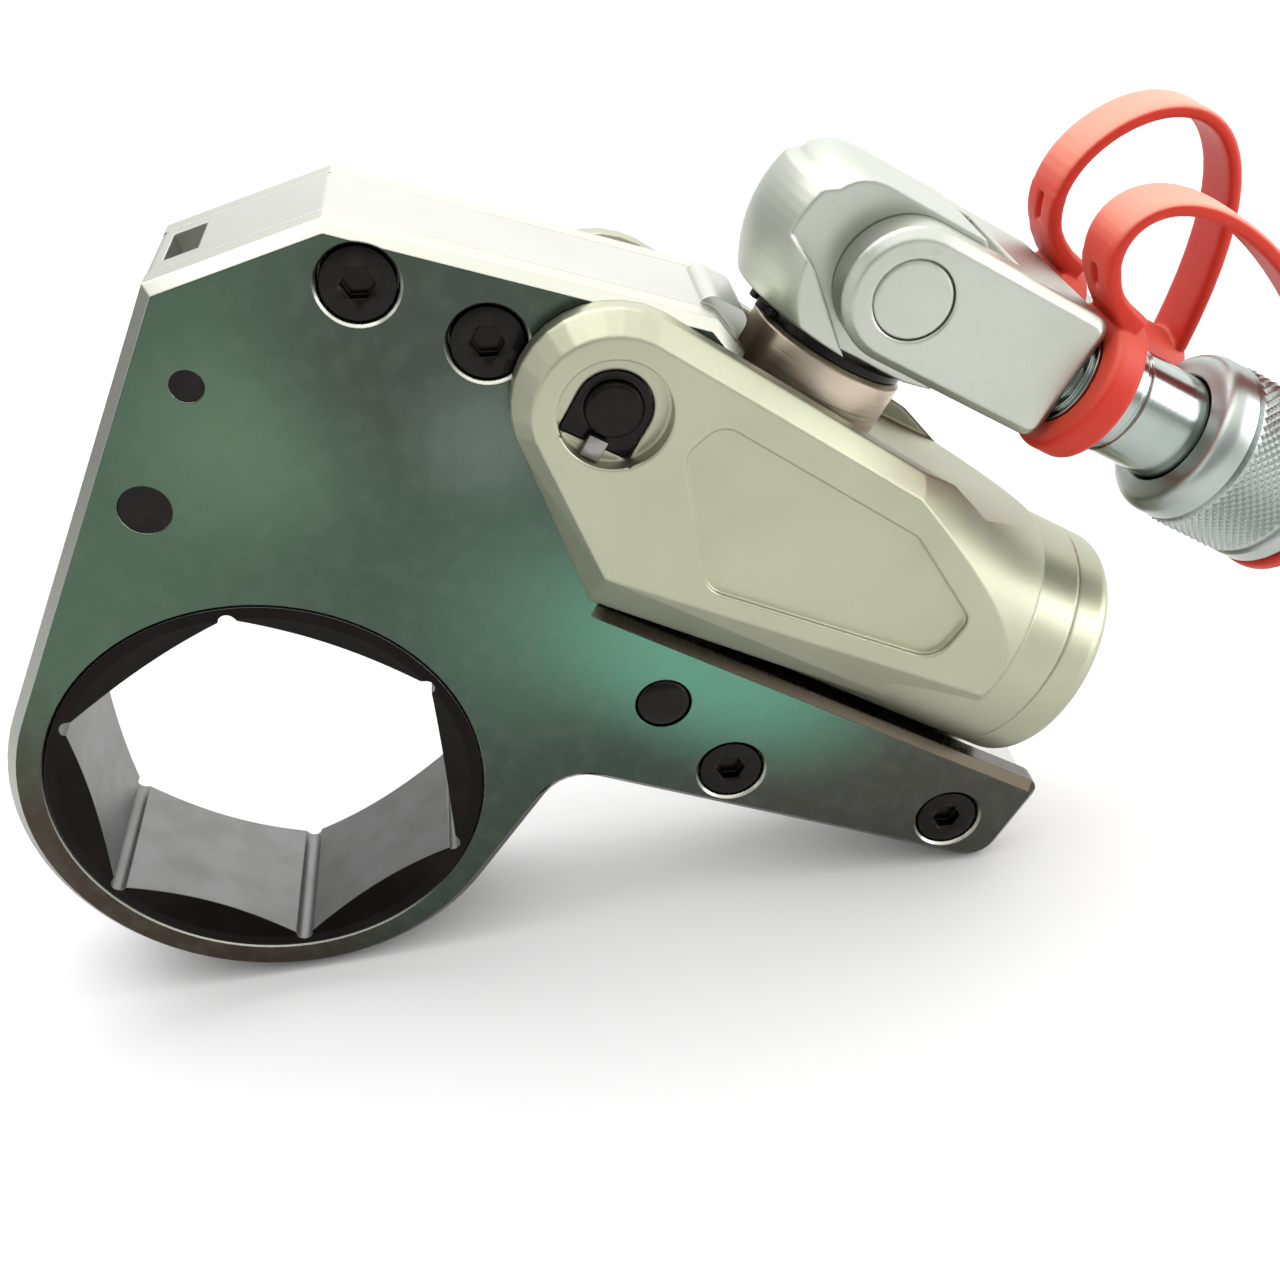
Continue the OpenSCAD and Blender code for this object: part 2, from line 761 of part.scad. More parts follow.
module cylinder_body() {
    color(head_colour) stand() difference() {
        union() {
            intersection() {
                difference() {
                    hull() {
                        head_side(half_w, 0, 0, cheek_end_r);
                        head_side(half_w - cheek_edge, cheek_low, cheek_high, cheek_end_r + cheek_high);
                        head_side(slot_y + 0.2, cheek_lower, cheek_high, cheek_end_r + cheek_high);
                    }
                    // Valley between the cheeks, where the post stands
                    translate([0, -slot_y, valley_z]) cube([2 * cone_end, 2 * slot_y, drive_h]);
                }
                turned_x([
                    [0, 0], [cone_r + cone_slope * cone_end, 0], [cone_r, cone_end], [0, cone_end]
                ], 0, drive_h);
            }
            turned_x([[0, fork_x], [barrel_r, fork_x], [barrel_r, barrel_end], [0, barrel_end]], 0, drive_h);
        }
        // Fork slot for the link
        translate([-50, -slot_y, 0]) cube([fork_x + 50, 2 * slot_y, 2 * drive_h]);
        turned_x([
            [0, fork_x - 1], [bore_r, fork_x - 1], [bore_r, barrel_end + 1], [0, barrel_end + 1]
        ], 0, drive_h);
        translate([post_x, 0, post_seat]) cylinder(r = post_r + seat_gap, h = 30);
        bar_y(pin_at, link_pin_r + run_gap, -half_w - 1, half_w + 1);
        both_sides() {
            bar_y(pin_at, pin_recess_r, -half_w - 1, -half_w + pin_recess_d);
            slab(-half_w - 1, -half_w + pin_slot_d) {
                translate(pin_at) circle(r = pin_head_r + 0.4);
                translate(pin_at - [pin_head_r + 0.4, pin_slot_low])
                    square([2 * pin_head_r + 0.8, pin_slot_low]);
            }
            slab(-half_w - 1, -half_w + pocket_depth) polygon(outline([
                [50, drive_h - 6.6, 5], [95.5, drive_h - 1.8, 5], [96.5, drive_h + 8, 3],
                [78, drive_h + 18, 4], [36.5, drive_h + 21.5, 4], [33.8, drive_h + 14, 4]
            ], 6));
        }
    }
}

module end_cap() {
    end = barrel_end + cap_len;
    color(head_colour) stand() difference() {
        turned_x(concat(
            [[0, barrel_end - cap_spigot], [bore_r - seat_gap, barrel_end - cap_spigot],
                [bore_r - seat_gap, barrel_end + 0.02], [barrel_r, barrel_end + 0.02]],
            [for (p = arc([end - cap_round, barrel_r - cap_round], cap_round, 90, 0, 6)) [p[1], p[0]]],
            [[0, end]]
        ), 0, drive_h);
        for (z = [-1, 1]) turned_x([
            [0, end - spanner_depth], [spanner_r, end - spanner_depth], [spanner_r, end + 1], [0, end + 1]
        ], 0, drive_h + z * bore_r);
    }
}

// Ring that guides the rod, with a groove for its seal
module rod_gland() {
    r = rod_r + run_gap;
    color(steel_colour) stand() turned_x([
        [r, fork_x + 0.3], [bore_r - seat_gap, fork_x + 0.3], [bore_r - seat_gap, fork_x + gland_len],
        [r, fork_x + gland_len], [r, fork_x + gland_groove[1]],
        [r + gland_groove_d, fork_x + gland_groove[1]],
        [r + gland_groove_d, fork_x + gland_groove[0]], [r, fork_x + gland_groove[0]]
    ], 0, drive_h);
}

module rod_seal() {
    r = rod_r + run_gap;
    x0 = fork_x + gland_groove[0] + 0.1;
    x1 = fork_x + gland_groove[1] - 0.1;
    out = r + gland_groove_d - 0.1;
    color(seal_colour) stand() turned_x([[r, x0], [out, x0], [out, x1], [r, x1]], 0, drive_h);
}

module piston() {
    x = piston_x;
    r = bore_r - run_gap;
    root = r - piston_groove_d;
    color(steel_colour) stand() turned_x([
        [0, x], [r, x], [r, x + piston_groove[0]], [root, x + piston_groove[0]],
        [root, x + piston_groove[1]], [r, x + piston_groove[1]], [r, x + piston_len], [0, x + piston_len]
    ], 0, drive_h);
}

module piston_seal() {
    x0 = piston_x + piston_groove[0] + 0.1;
    x1 = piston_x + piston_groove[1] - 0.1;
    r = bore_r - run_gap;
    root = r - piston_groove_d + 0.1;
    color(seal_colour) stand() turned_x([[root, x0], [r, x0], [r, x1], [root, x1]], 0, drive_h);
}

// Rod with a flat eye between the lever's arms
module piston_rod() {
    flat_x = rod_pin_x + 19;
    end = piston_x - 2 * eps;
    color(chrome_colour) stand() difference() {
        union() {
            turned_x([[0, flat_x], [rod_r, flat_x], [rod_r, end], [0, end]], 0, drive_h);
            slab(-rod_y, rod_y) {
                translate([rod_pin_x, drive_h]) circle(r = rod_r);
                translate([rod_pin_x, drive_h - rod_r]) square([flat_x - rod_pin_x + 1, 2 * rod_r]);
            }
        }
        bar_y([rod_pin_x, drive_h], rod_pin_r + seat_gap, -link_y, link_y);
    }
}

module rod_cross_pin() {
    color(steel_colour) stand() bar_y([rod_pin_x, drive_h], rod_pin_r, -lever_out + 0.2, lever_out - 0.2);
}

// Pin through both cheeks and the link, with a head that its slot keys
module link_pin() {
    color(black_colour) stand() {
        bar_y(pin_at, link_pin_r, pin_end_y - half_w, half_w - pin_slot_d);
        slab(pin_head_y - half_w, pin_slot_d - half_w - 0.05) {
            translate(pin_at) circle(r = pin_head_r);
            translate(pin_at - [pin_head_r, pin_slot_low - side_gap])
                square([2 * pin_head_r, pin_slot_low - side_gap]);
        }
    }
}

// Small clip in the recess, before the pin's head
module link_pin_clip() {
    low = pin_recess_r - side_gap;
    high = link_pin_r + side_gap;
    color(chrome_colour) stand()
        translate([pin_at[0] - clip_w / 2, pin_recess_d - clip_t - half_w - 0.05, pin_at[1] - low])
            cube([clip_w, clip_t, low - high]);
}

// Steel post: base in the head, spigot for the swivel block
module swivel_post() {
    color(post_colour) stand() difference() {
        translate([post_x, 0, 0]) rotate_extrude() polygon([
            [0, post_seat + 2 * eps], [post_r, post_seat + 2 * eps],
            [post_r, post_top - 0.8], [post_r - 0.8, post_top],
            [spigot_r + 3, post_top], [spigot_r + 3, post_top + ring_step],
            [spigot_r + 2, post_top + ring_step], [spigot_r + 2, post_top + ring_t + 2 * ring_step],
            [spigot_r, post_top + ring_t + 2 * ring_step],
            [spigot_r, block_top - 5], [0, block_top - 5]
        ]);
        for (z = seal_z()) translate([post_x, 0, z]) rotate_extrude() polygon([
            [spigot_r - seal_d, 0], [spigot_r + 1, 0], [spigot_r + 1, seal_w], [spigot_r - seal_d, seal_w]
        ]);
    }
}

// Heights of the grooves round the post
function seal_z() = [block_low + 3, pivot_z - 3, pivot_z + 4];

module post_seals() {
    color(seal_colour) stand() for (z = seal_z()) translate([post_x, 0, z]) rotate_extrude() polygon([
        [spigot_r - seal_d + 0.05, 0.05], [spigot_r, 0.05],
        [spigot_r, seal_w - 0.05], [spigot_r - seal_d + 0.05, seal_w - 0.05]
    ]);
}

// Open retaining ring with two lugs
module post_retaining_ring() {
    r = spigot_r + 2 + seat_gap;
    color(black_colour) stand() translate([post_x, 0, post_top + ring_step + 0.1]) difference() {
        union() {
            cylinder(r = r + 3.2, h = ring_t);
            for (y = [-1, 1]) translate([-r - 3.4, y * 2.6, 0]) cylinder(r = 2.2, h = ring_t);
        }
        translate([0, 0, -1]) cylinder(r = r, h = 4);
        translate([-40, -1.2, -1]) cube([40, 2.4, 4]);
    }
}

// Ball-shaped block that turns on the post and carries the yoke
module swivel_block() {
    // Room for the yoke's web over its tilt
    right = web_in - 2 * side_gap;
    color(head_colour) stand() difference() {
        intersection() {
            translate([post_x, 0, pivot_z]) rotate_extrude() polygon(concat(
                [[0, block_low - pivot_z], [16, block_low - pivot_z]],
                [for (p = arc([0, 0], ball_r, -32, 17, 12)) p],
                arc([ball_r - 8.6, block_top - pivot_z - 6], 6, 20, 90, 6),
                [[0, block_top - pivot_z]]
            ));
            union() {
                slab(-block_core, block_core) translate([post_x, pivot_z]) {
                    circle(r = right);
                    polygon([
                        [-30, -20], [right, -20], [right, -right * 0.73], [0, 0], [-8, 16], [-30, 16]
                    ]);
                }
                // Wider foot below the yoke's legs
                slab(-foot_y, foot_y) polygon([
                    [post_x - 30, block_low - 1], [post_x - 2, block_low - 1],
                    [post_x - 15, pivot_z - 4], [post_x - 30, pivot_z + 4]
                ]);
            }
        }
        translate([post_x, 0, block_low - 1])
            cylinder(r = spigot_r + run_gap, h = block_top - 4.7 - block_low + 1);
        both_sides() bar_y([post_x, pivot_z], pivot_r + run_gap, -yoke_y, -pivot_end);
        both_sides() bar_y([post_x, pivot_z], yoke_h / 2 + side_gap, -yoke_y, -block_core);
    }
}

// One side of the yoke, from the round end to the coupler face
function yoke_outline() = concat(
    arc([post_x, pivot_z], yoke_h / 2, 97.5, 262.5, 22),
    outline([
        [post_x, pivot_z - yoke_h / 2, 0],
        [yoke_end, pivot_z - yoke_h / 2, yoke_round],
        [yoke_end, pivot_z + yoke_h / 2, yoke_round],
        [post_x, pivot_z + yoke_h / 2, 0]
    ], 5)
);

module yoke() {
    color(head_colour) stand() difference() {
        union() {
            both_sides() bevelled_plate(yoke_outline(), leg_in, yoke_y, yoke_bevel);
            slab(-leg_in - eps, leg_in + eps) polygon(outline([
                [post_x + web_in, pivot_z - yoke_h / 2, 0], [yoke_end, pivot_z - yoke_h / 2, yoke_round],
                [yoke_end, pivot_z + yoke_h / 2, yoke_round], [post_x + web_in, pivot_z + yoke_h / 2, 0]
            ], 5));
        }
        both_sides() bar_y([post_x, pivot_z], pivot_r + seat_gap, -yoke_y - 1, -leg_in + 1);
        for (y = [-coupler_y, coupler_y]) turned_x([
            [0, yoke_end - spigot_len - 0.5], [coupler_spigot_r + seat_gap, yoke_end - spigot_len - 0.5],
            [coupler_spigot_r + seat_gap, yoke_end + 1], [0, yoke_end + 1]
        ], y, pivot_z);
    }
}

// Hollow-headed pins that join the yoke's legs to the block
module pivot_pins() {
    color(head_colour) stand() both_sides() difference() {
        bar_y([post_x, pivot_z], pivot_r, 0.2 - yoke_y, -pivot_end - side_gap);
        bar_y([post_x, pivot_z], pivot_hollow_r, 6 - yoke_y, -spigot_r);
    }
}

// Neck, cap seat and grooved body that both couplers share, up to x = end
function coupler_profile(end) =
    let (
        face = yoke_end + 2 * eps,
        seat_end = cap_ring_x + cap_ring_w + 0.3,
        edge = coupler_r - coupler_groove_d
    )
    [
        [0, yoke_end - spigot_len], [coupler_spigot_r, yoke_end - spigot_len], [coupler_spigot_r, face],
        [neck_r, face], [neck_r, cap_ring_x - 0.4], [cap_seat_r, cap_ring_x - 0.4],
        [cap_seat_r, seat_end], [edge, seat_end], [coupler_r, seat_end + coupler_groove_d],
        [coupler_r, coupler_groove], [edge, coupler_groove + 0.3], [edge, coupler_groove + 0.9],
        [coupler_r, coupler_groove + 1.2], [coupler_r, end]
    ];

// Socket half, with a flange inside the collar and a socket for the plug
module near_coupler_body() {
    port = plug_r + side_gap;
    floor_x = near_tip - plug_room;
    color(chrome_colour) stand() turned_x(concat(
        coupler_profile(flange_x),
        [[flange_r, flange_x], [flange_r, near_tip], [port, near_tip], [port, floor_x], [0, floor_x]]
    ), -coupler_y, pivot_z);
}

module near_coupler_collar() {
    step = collar_x + collar_step;
    end = collar_x + collar_len;
    bore = coupler_r + side_gap;
    wide = flange_r + side_gap;
    color(chrome_colour) stand() turned_x([
        [bore, collar_x], [collar_r - collar_shoulder[0], collar_x],
        [collar_r, collar_x + collar_shoulder[1]], [collar_r, end - cap_round_c],
        [collar_r - cap_round_c, end], [wide, end], [wide, step], [bore, step]
    ], -coupler_y, pivot_z);
}

// Ring of a dust cap on a coupler's cap seat
module cap_ring(y) {
    x = cap_ring_x;
    end = cap_ring_x + cap_ring_w;
    c = cap_round_c;
    bore = cap_seat_r + seat_gap;
    turned_x([
        [bore, x], [cap_ring_r - c, x], [cap_ring_r, x + c],
        [cap_ring_r, end - c], [cap_ring_r - c, end], [bore, end]
    ], y, pivot_z);
}

// Flat strap from the ring to the cap
module strap(y, control) {
    slab(y - strap_w / 2, y + strap_w / 2) polygon(band(bezier(control, 20), strap_t));
}

// Rubber ring, strap and plug of the near coupler
module near_dust_cap() {
    x = near_cap_x;
    back = x + near_cap_t;
    end = back + near_knob[2];
    color(rubber_colour) stand() {
        cap_ring(-coupler_y);
        strap(-coupler_y, near_strap);
        turned_x([
            [0, near_tip - plug_len], [plug_r, near_tip - plug_len], [plug_r, x], [near_cap_r, x],
            [near_cap_r, back], [near_knob[0], back], [near_knob[1], end], [0, end]
        ], -coupler_y, pivot_z);
    }
}

// Nipple half, shorter and without a collar
module far_coupler_body() {
    color(chrome_colour) stand() turned_x(concat(
        coupler_profile(far_nipple_x),
        [[nipple_r, far_nipple_x], [nipple_r, far_tip - 1], [nipple_r - 1, far_tip], [0, far_tip]]
    ), coupler_y, pivot_z);
}

// Rubber ring, strap and cup of the far coupler
module far_dust_cap() {
    x = far_nipple_x + 0.4;
    r = far_cup_r;
    end = far_tip + far_cup_t;
    bore = nipple_r + seat_gap;
    color(rubber_colour) stand() {
        cap_ring(coupler_y);
        strap(coupler_y, far_strap);
        turned_x([
            [bore, x], [r - 1, x], [r, x + 1], [r, end - 1], [r - 1, end], [0, end],
            [0, far_tip + side_gap], [bore, far_tip + side_gap]
        ], coupler_y, pivot_z);
    }
}

front_side_plate();
rear_side_plate();
top_spacer();
reaction_block();
link_screws();
spacer_dowel();
lever_stop_pin();
ratchet_socket();
drive_lever();
drive_pawl();
drive_pawl_springs();
holding_pawl();
holding_pawl_pivot();
holding_pawl_spring();
release_button();
button_spring();
cylinder_body();
end_cap();
rod_gland();
rod_seal();
piston();
piston_seal();
piston_rod();
rod_cross_pin();
link_pin();
link_pin_clip();
swivel_post();
post_seals();
post_retaining_ring();
swivel_block();
yoke();
pivot_pins();
near_coupler_body();
near_coupler_collar();
near_dust_cap();
far_coupler_body();
far_dust_cap();
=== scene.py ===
"""Finishes and detailed pieces of a hydraulic torque wrench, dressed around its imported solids."""

import math

import bmesh
import bpy
from bpy.props import FloatProperty, FloatVectorProperty, IntProperty, PointerProperty
from mathutils import Matrix, Vector


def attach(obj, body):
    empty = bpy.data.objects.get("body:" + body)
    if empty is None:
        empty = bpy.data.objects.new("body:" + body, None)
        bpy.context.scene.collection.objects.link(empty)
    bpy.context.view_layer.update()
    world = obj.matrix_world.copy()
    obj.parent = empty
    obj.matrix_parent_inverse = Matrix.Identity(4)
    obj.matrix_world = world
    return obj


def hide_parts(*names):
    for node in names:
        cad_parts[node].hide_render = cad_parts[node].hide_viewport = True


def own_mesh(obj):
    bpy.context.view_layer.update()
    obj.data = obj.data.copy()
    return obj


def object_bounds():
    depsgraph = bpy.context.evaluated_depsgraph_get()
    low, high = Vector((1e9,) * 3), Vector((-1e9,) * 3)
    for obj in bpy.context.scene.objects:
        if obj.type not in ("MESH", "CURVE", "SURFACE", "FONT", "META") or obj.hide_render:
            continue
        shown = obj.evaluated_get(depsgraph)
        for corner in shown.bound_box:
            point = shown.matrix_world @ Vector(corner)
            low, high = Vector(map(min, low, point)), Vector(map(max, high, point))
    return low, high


bl_info = {
    "name": "Hydraulic torque wrench",
    "version": (1, 0, 0),
    "blender": (4, 5, 0),
    "location": "View3D > Sidebar > Wrench",
    "description": "Finishes and detailed pieces of a hydraulic torque wrench with a swivel",
    "category": "Object",
}

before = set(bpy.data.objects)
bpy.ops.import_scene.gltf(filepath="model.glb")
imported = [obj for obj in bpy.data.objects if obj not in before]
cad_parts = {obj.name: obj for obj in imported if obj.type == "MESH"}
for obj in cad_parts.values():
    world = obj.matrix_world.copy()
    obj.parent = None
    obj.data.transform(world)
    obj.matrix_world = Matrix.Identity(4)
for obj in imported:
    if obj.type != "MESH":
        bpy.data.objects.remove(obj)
CAD_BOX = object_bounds()

# Pieces are drawn in millimetres in the barrel frame: X along the barrel, Z up from the hexagon's axis
MM = 0.001
HEAD_ANGLE = math.radians(35.2)
STAND = Matrix.Rotation(HEAD_ANGLE, 4, "Y") @ Matrix.Scale(MM, 4)

# Ratchet link: half its depth, the plates' bevel, nose and bend under the arm, and what is set in its face
LINK_Y = 16.0
PLATE_BEVEL = 1.8
NOSE_R = 46.0
BEND_AT = (57.2, 17.28)
BEND_R = 9.0
SCREWS_AT = ((-23.3, 96.0), (-1.4, 96.2), (78.0, 38.71), (125.0, 45.91))
BUTTON_AT = (58.2, 47.11)

# Power head: the link pin and half the width over the cheeks
PIN_AT = (20.4, 96.8)
HEAD_Y = 23.5

# Swivel: the post, the height of the yoke's pivot, half the yoke's width and its end
POST_X = 54.5
PIVOT_Z = 133.6
YOKE_Y = 20.5
YOKE_END = 87.5

# Couplers: their offset to each side, the dust caps' rings, the near collar, and both ends
COUPLER_Y = 13.5
CAP_RING_X = 88.5
CAP_RING_W = 6.0
CAP_SEAT_R = 8.66
CAP_RING_R = 13.4
COLLAR_X = 111.5
COLLAR_LEN = 26.4
COLLAR_R = 15.2
COLLAR_BORE_R = 9.8
FLANGE_BORE_R = 12.4
NEAR_TIP = 136.9
FAR_NIPPLE_X = 103.0
FAR_TIP = 118.0


def linear(red, green, blue):
    """Colour as it is seen, 0 to 255, to the renderer's linear values."""
    seen = (red, green, blue)
    return tuple(((c / 255 + 0.055) / 1.055) ** 2.4 if c > 10 else c / 3294 for c in seen) + (1.0,)


class WrenchSizes(bpy.types.PropertyGroup):
    """Sizes of the pieces that are modelled here."""

    knurl_count: IntProperty(
        name="Knurl count", description="Diamonds round the collar", default=60, min=24, max=120
    )
    knurl_depth: FloatProperty(
        name="Knurl depth", description="Depth of the collar's diamonds", default=0.38 * MM,
        unit="LENGTH", precision=5
    )
    strap_width: FloatProperty(
        name="Strap width", description="Width of a dust cap's strap", default=12 * MM,
        unit="LENGTH", precision=5
    )
    strap_thickness: FloatProperty(
        name="Strap thickness", description="Thickness of a dust cap's strap", default=2.6 * MM,
        unit="LENGTH", precision=5
    )
    rubber_grain: FloatProperty(
        name="Rubber grain", description="Voxel size of the moulded rubber", default=0.34 * MM,
        unit="LENGTH", precision=6
    )
    edge_round: FloatProperty(
        name="Edge round", description="Radius of the broken edges of machined pieces", default=0.35 * MM,
        unit="LENGTH", precision=6
    )


class WrenchColours(bpy.types.PropertyGroup):
    """Colours of the finishes."""

    plate: FloatVectorProperty(
        name="Side plates", description="Polished dark steel", subtype="COLOR", size=4, min=0, max=1,
        default=linear(64, 75, 67)
    )
    bright: FloatVectorProperty(
        name="Bright steel", description="Ground spacer and bevels", subtype="COLOR", size=4, min=0, max=1,
        default=linear(192, 194, 186)
    )
    head: FloatVectorProperty(
        name="Power head", description="Satin champagne plating", subtype="COLOR", size=4, min=0, max=1,
        default=linear(174, 176, 154)
    )
    swivel: FloatVectorProperty(
        name="Swivel", description="Satin ivory plating", subtype="COLOR", size=4, min=0, max=1,
        default=linear(186, 190, 179)
    )
    post: FloatVectorProperty(
        name="Swivel post", description="Brown-grey hardened steel", subtype="COLOR", size=4, min=0, max=1,
        default=linear(184, 169, 153)
    )
    black: FloatVectorProperty(
        name="Black oxide", description="Screws, pins and button", subtype="COLOR", size=4, min=0, max=1,
        default=linear(22, 19, 18)
    )
    rubber: FloatVectorProperty(
        name="Dust caps", description="Coral red rubber", subtype="COLOR", size=4, min=0, max=1,
        default=linear(196, 46, 26)
    )


class StageSettings(bpy.types.PropertyGroup):
    """Floor, light and camera."""

    floor_height: FloatProperty(
        name="Floor height", description="Level that the tool stands on", default=CAD_BOX[0].z, unit="LENGTH"
    )
    floor_colour: FloatVectorProperty(
        name="Floor", description="Pale floor", subtype="COLOR", size=4, min=0, max=1,
        default=(0.74, 0.74, 0.74, 1)
    )
    horizon: FloatProperty(
        name="Horizon", description="Strength of the soft light from the sides", default=0.5
    )
    zenith: FloatProperty(
        name="Zenith", description="Strength of the soft light from overhead", default=1.75
    )
    key: FloatProperty(
        name="Key light", description="Power of the overhead light", default=2.5, unit="POWER"
    )
    lens: FloatProperty(
        name="Lens", description="Focal length of the camera, in millimetres", default=42.19
    )


class Wire:
    """An output of a finish's node, with arithmetic that adds Math nodes."""

    def __init__(self, finish, socket):
        self.finish = finish
        self.socket = socket

    def maths(self, operation, *values):
        return self.finish.node("Math", {"operation": operation}, dict(enumerate(values)))

    def __add__(self, other):
        return self.maths("ADD", self, other)

    def __radd__(self, other):
        return self.maths("ADD", other, self)

    def __sub__(self, other):
        return self.maths("SUBTRACT", self, other)

    def __rsub__(self, other):
        return self.maths("SUBTRACT", other, self)

    def __mul__(self, other):
        return self.maths("MULTIPLY", self, other)

    def __rmul__(self, other):
        return self.maths("MULTIPLY", other, self)

    def __abs__(self):
        return self.maths("ABSOLUTE", self)

    def ramp(self, low, high):
        """0 below low and 1 above high, with a smooth step between."""
        return self.finish.node(
            "MapRange", {"interpolation_type": "SMOOTHSTEP"},
            {"Value": self, "From Min": low, "From Max": high}
        )


class Finish:
    """A node material: nodes come from node(), and surface() closes it with a Principled shader."""

    def __init__(self, name):
        self.material = bpy.data.materials.new(name)
        self.material.use_nodes = True
        self.tree = self.material.node_tree
        self.tree.nodes.clear()
        self.place = self.node("TexCoord", out="Object")

    def node(self, kind, settings=None, sockets=None, out=0):
        """Adds a node, sets it, fills or links its sockets and gives back one of its outputs."""
        made = self.tree.nodes.new("ShaderNode" + kind)
        for key, value in (settings or {}).items():
            setattr(made, key, value)
        for key, value in (sockets or {}).items():
            if isinstance(value, Wire):
                self.tree.links.new(value.socket, made.inputs[key])
            else:
                made.inputs[key].default_value = value
        return Wire(self, made.outputs[out]) if made.outputs else None

    def noise(self, scale, detail=3.0, stretch=(1, 1, 1), at=None):
        """Noise over the object, 0 to 1, finer along the axes with a larger stretch."""
        point = self.node(
            "Mapping", {"vector_type": "POINT"}, {"Vector": at or self.place, "Scale": stretch}
        )
        return self.node("TexNoise", {}, {"Vector": point, "Scale": scale, "Detail": detail})

    def mix(self, factor, first, second):
        """Blend of two colours."""
        return self.node(
            "Mix", {"data_type": "RGBA", "blend_type": "MIX", "clamp_factor": True},
            {0: factor, 6: first, 7: second}, out=2
        )

    def facing(self):
        """How far the surface faces along Y, 0 to 1."""
        normal = self.node("TexCoord", out="Normal")
        return abs(self.node("SeparateXYZ", {}, {0: normal}, out="Y"))

    def rising(self):
        """How far the surface faces up in the rest pose, -1 to 1."""
        normal = self.node("TexCoord", out="Normal")
        return self.node("SeparateXYZ", {}, {0: normal}, out="Z")

    def spot(self, at, x, z, inner, outer, squeeze=1.0):
        """1 round a place on the link's side and 0 away from it, longer along X where it is squeezed."""
        flat = self.node("Mapping", {"vector_type": "POINT"}, {"Vector": at, "Scale": (squeeze, 0, 1)})
        centre = (x * squeeze, 0, z)
        away = self.node("VectorMath", {"operation": "DISTANCE"}, {0: flat, 1: centre}, out="Value")
        return 1 - away.ramp(inner, outer)

    def barrel(self):
        """Object coordinates turned into the barrel frame."""
        return self.node(
            "Mapping", {"vector_type": "POINT"}, {"Vector": self.place, "Rotation": (0, -HEAD_ANGLE, 0)}
        )

    def bevel(self, radius):
        """Normal with every edge broken to a radius."""
        return self.node("Bevel", {"samples": 8}, {"Radius": radius})

    def edge(self, radius):
        """0 on a face and more towards its edges."""
        normal = self.node("NewGeometry", out="Normal")
        along = self.node(
            "VectorMath", {"operation": "DOT_PRODUCT"}, {0: self.bevel(radius), 1: normal}, out="Value"
        )
        return 1 - along

    def bump(self, height, strength, distance, normal):
        """Bumped normal over another normal."""
        return self.node(
            "Bump", {}, {"Strength": strength, "Distance": distance, "Height": height, "Normal": normal}
        )

    def surface(self, **sockets):
        """Principled shader with these sockets, named with underscores for blanks."""
        inputs = {key.replace("_", " "): value for key, value in sockets.items()}
        shader = self.node("BsdfPrincipled", {}, inputs)
        self.node("OutputMaterial", {}, {"Surface": shader})
        return self.material


def plate_finish(colours):
    """Polished dark steel with a ground grain and a random mottle. Its green cast, cloudy patches and glow are
    painted reflections, and its brown lower part is painted shade. Its bevels carry painted highlights,
    brightest at the top, and painted shade along the arm and underneath.
    """
    f = Finish("plate_steel")
    at = f.barrel()
    along = f.node("SeparateXYZ", {}, {0: at}, out="X")
    up = f.node("SeparateXYZ", {}, {0: at}, out="Z")
    front = 1 - f.node("SeparateXYZ", {}, {0: at}, out="Y").ramp(-0.001, 0.001)
    cloud = f.noise(16.0, 3.0)
    mottle = f.noise(240.0, 4.0)
    grain = f.noise(90.0, 5.0, stretch=(60, 1, 1), at=at)
    left = (0.02 * cloud - along).ramp(-0.01, 0.045)
    # Painted reflections: lighter and darker green patches across the side of the link
    tone = f.mix(left * 0.8, colours.plate[:], linear(76, 97, 79))
    tone = f.mix(f.spot(at, -0.030, 0.064, 0.002, 0.026) * front * 0.7, tone, linear(92, 116, 95))
    tone = f.mix(f.spot(at, -0.012, 0.092, 0.010, 0.034) * front * 0.8, tone, linear(66, 72, 66))
    tone = f.mix(f.spot(at, 0.006, 0.081, 0.001, 0.018) * front * 0.7, tone, linear(98, 111, 104))
    tone = f.mix(f.spot(at, 0.032, 0.055, 0.006, 0.036), tone, linear(78, 102, 88))
    # Painted shade: brown towards the bottom. Painted reflection: greyer towards the arm's end
    tone = f.mix((0.02 * cloud - up - 0.3 * along).ramp(0.008, 0.045), tone, linear(64, 56, 48))
    tone = f.mix((along - 0.2 * up + 0.03 * cloud).ramp(0.072, 0.1), tone, linear(74, 74, 69))
    # Painted reflection: a teal glow on the arm, strongest on the front side
    painted_glow = f.spot(at, 0.064, 0.058, 0.004, 0.026, squeeze=0.55)
    tone = f.mix(painted_glow * (0.3 + 0.7 * front), tone, linear(94, 144, 123))
    tone = f.mix(mottle.ramp(0.4, 0.75) * 0.12, tone, linear(112, 122, 112))
    flat = f.facing().ramp(0.8, 0.93)
    # Painted light on the edges: painted highlights on the body of the link and round the counterbores,
    # brightest on edges that face up, and painted shade on edges that face down and along the arm
    bright = 1 - along.ramp(0.03, 0.04)
    for x, z in SCREWS_AT[2:]:
        bright = bright + f.spot(at, x * MM, z * MM, 0.0074, 0.0078)
    rising = f.rising()
    edge = f.mix(rising.ramp(-0.3, 0.15) * bright, linear(62, 57, 48), linear(152, 156, 147))
    edge = f.mix(rising.ramp(0.3, 0.55) * bright, edge, linear(196, 197, 184))
    colour = f.mix(flat, edge, tone)
    rough = 0.2 + 0.08 * grain + 0.06 * mottle
    normal = f.bump(grain * flat, 0.06, 0.0003, f.bevel(0.0004))
    return f.surface(Base_Color=colour, Metallic=1.0, Roughness=rough, Normal=normal)


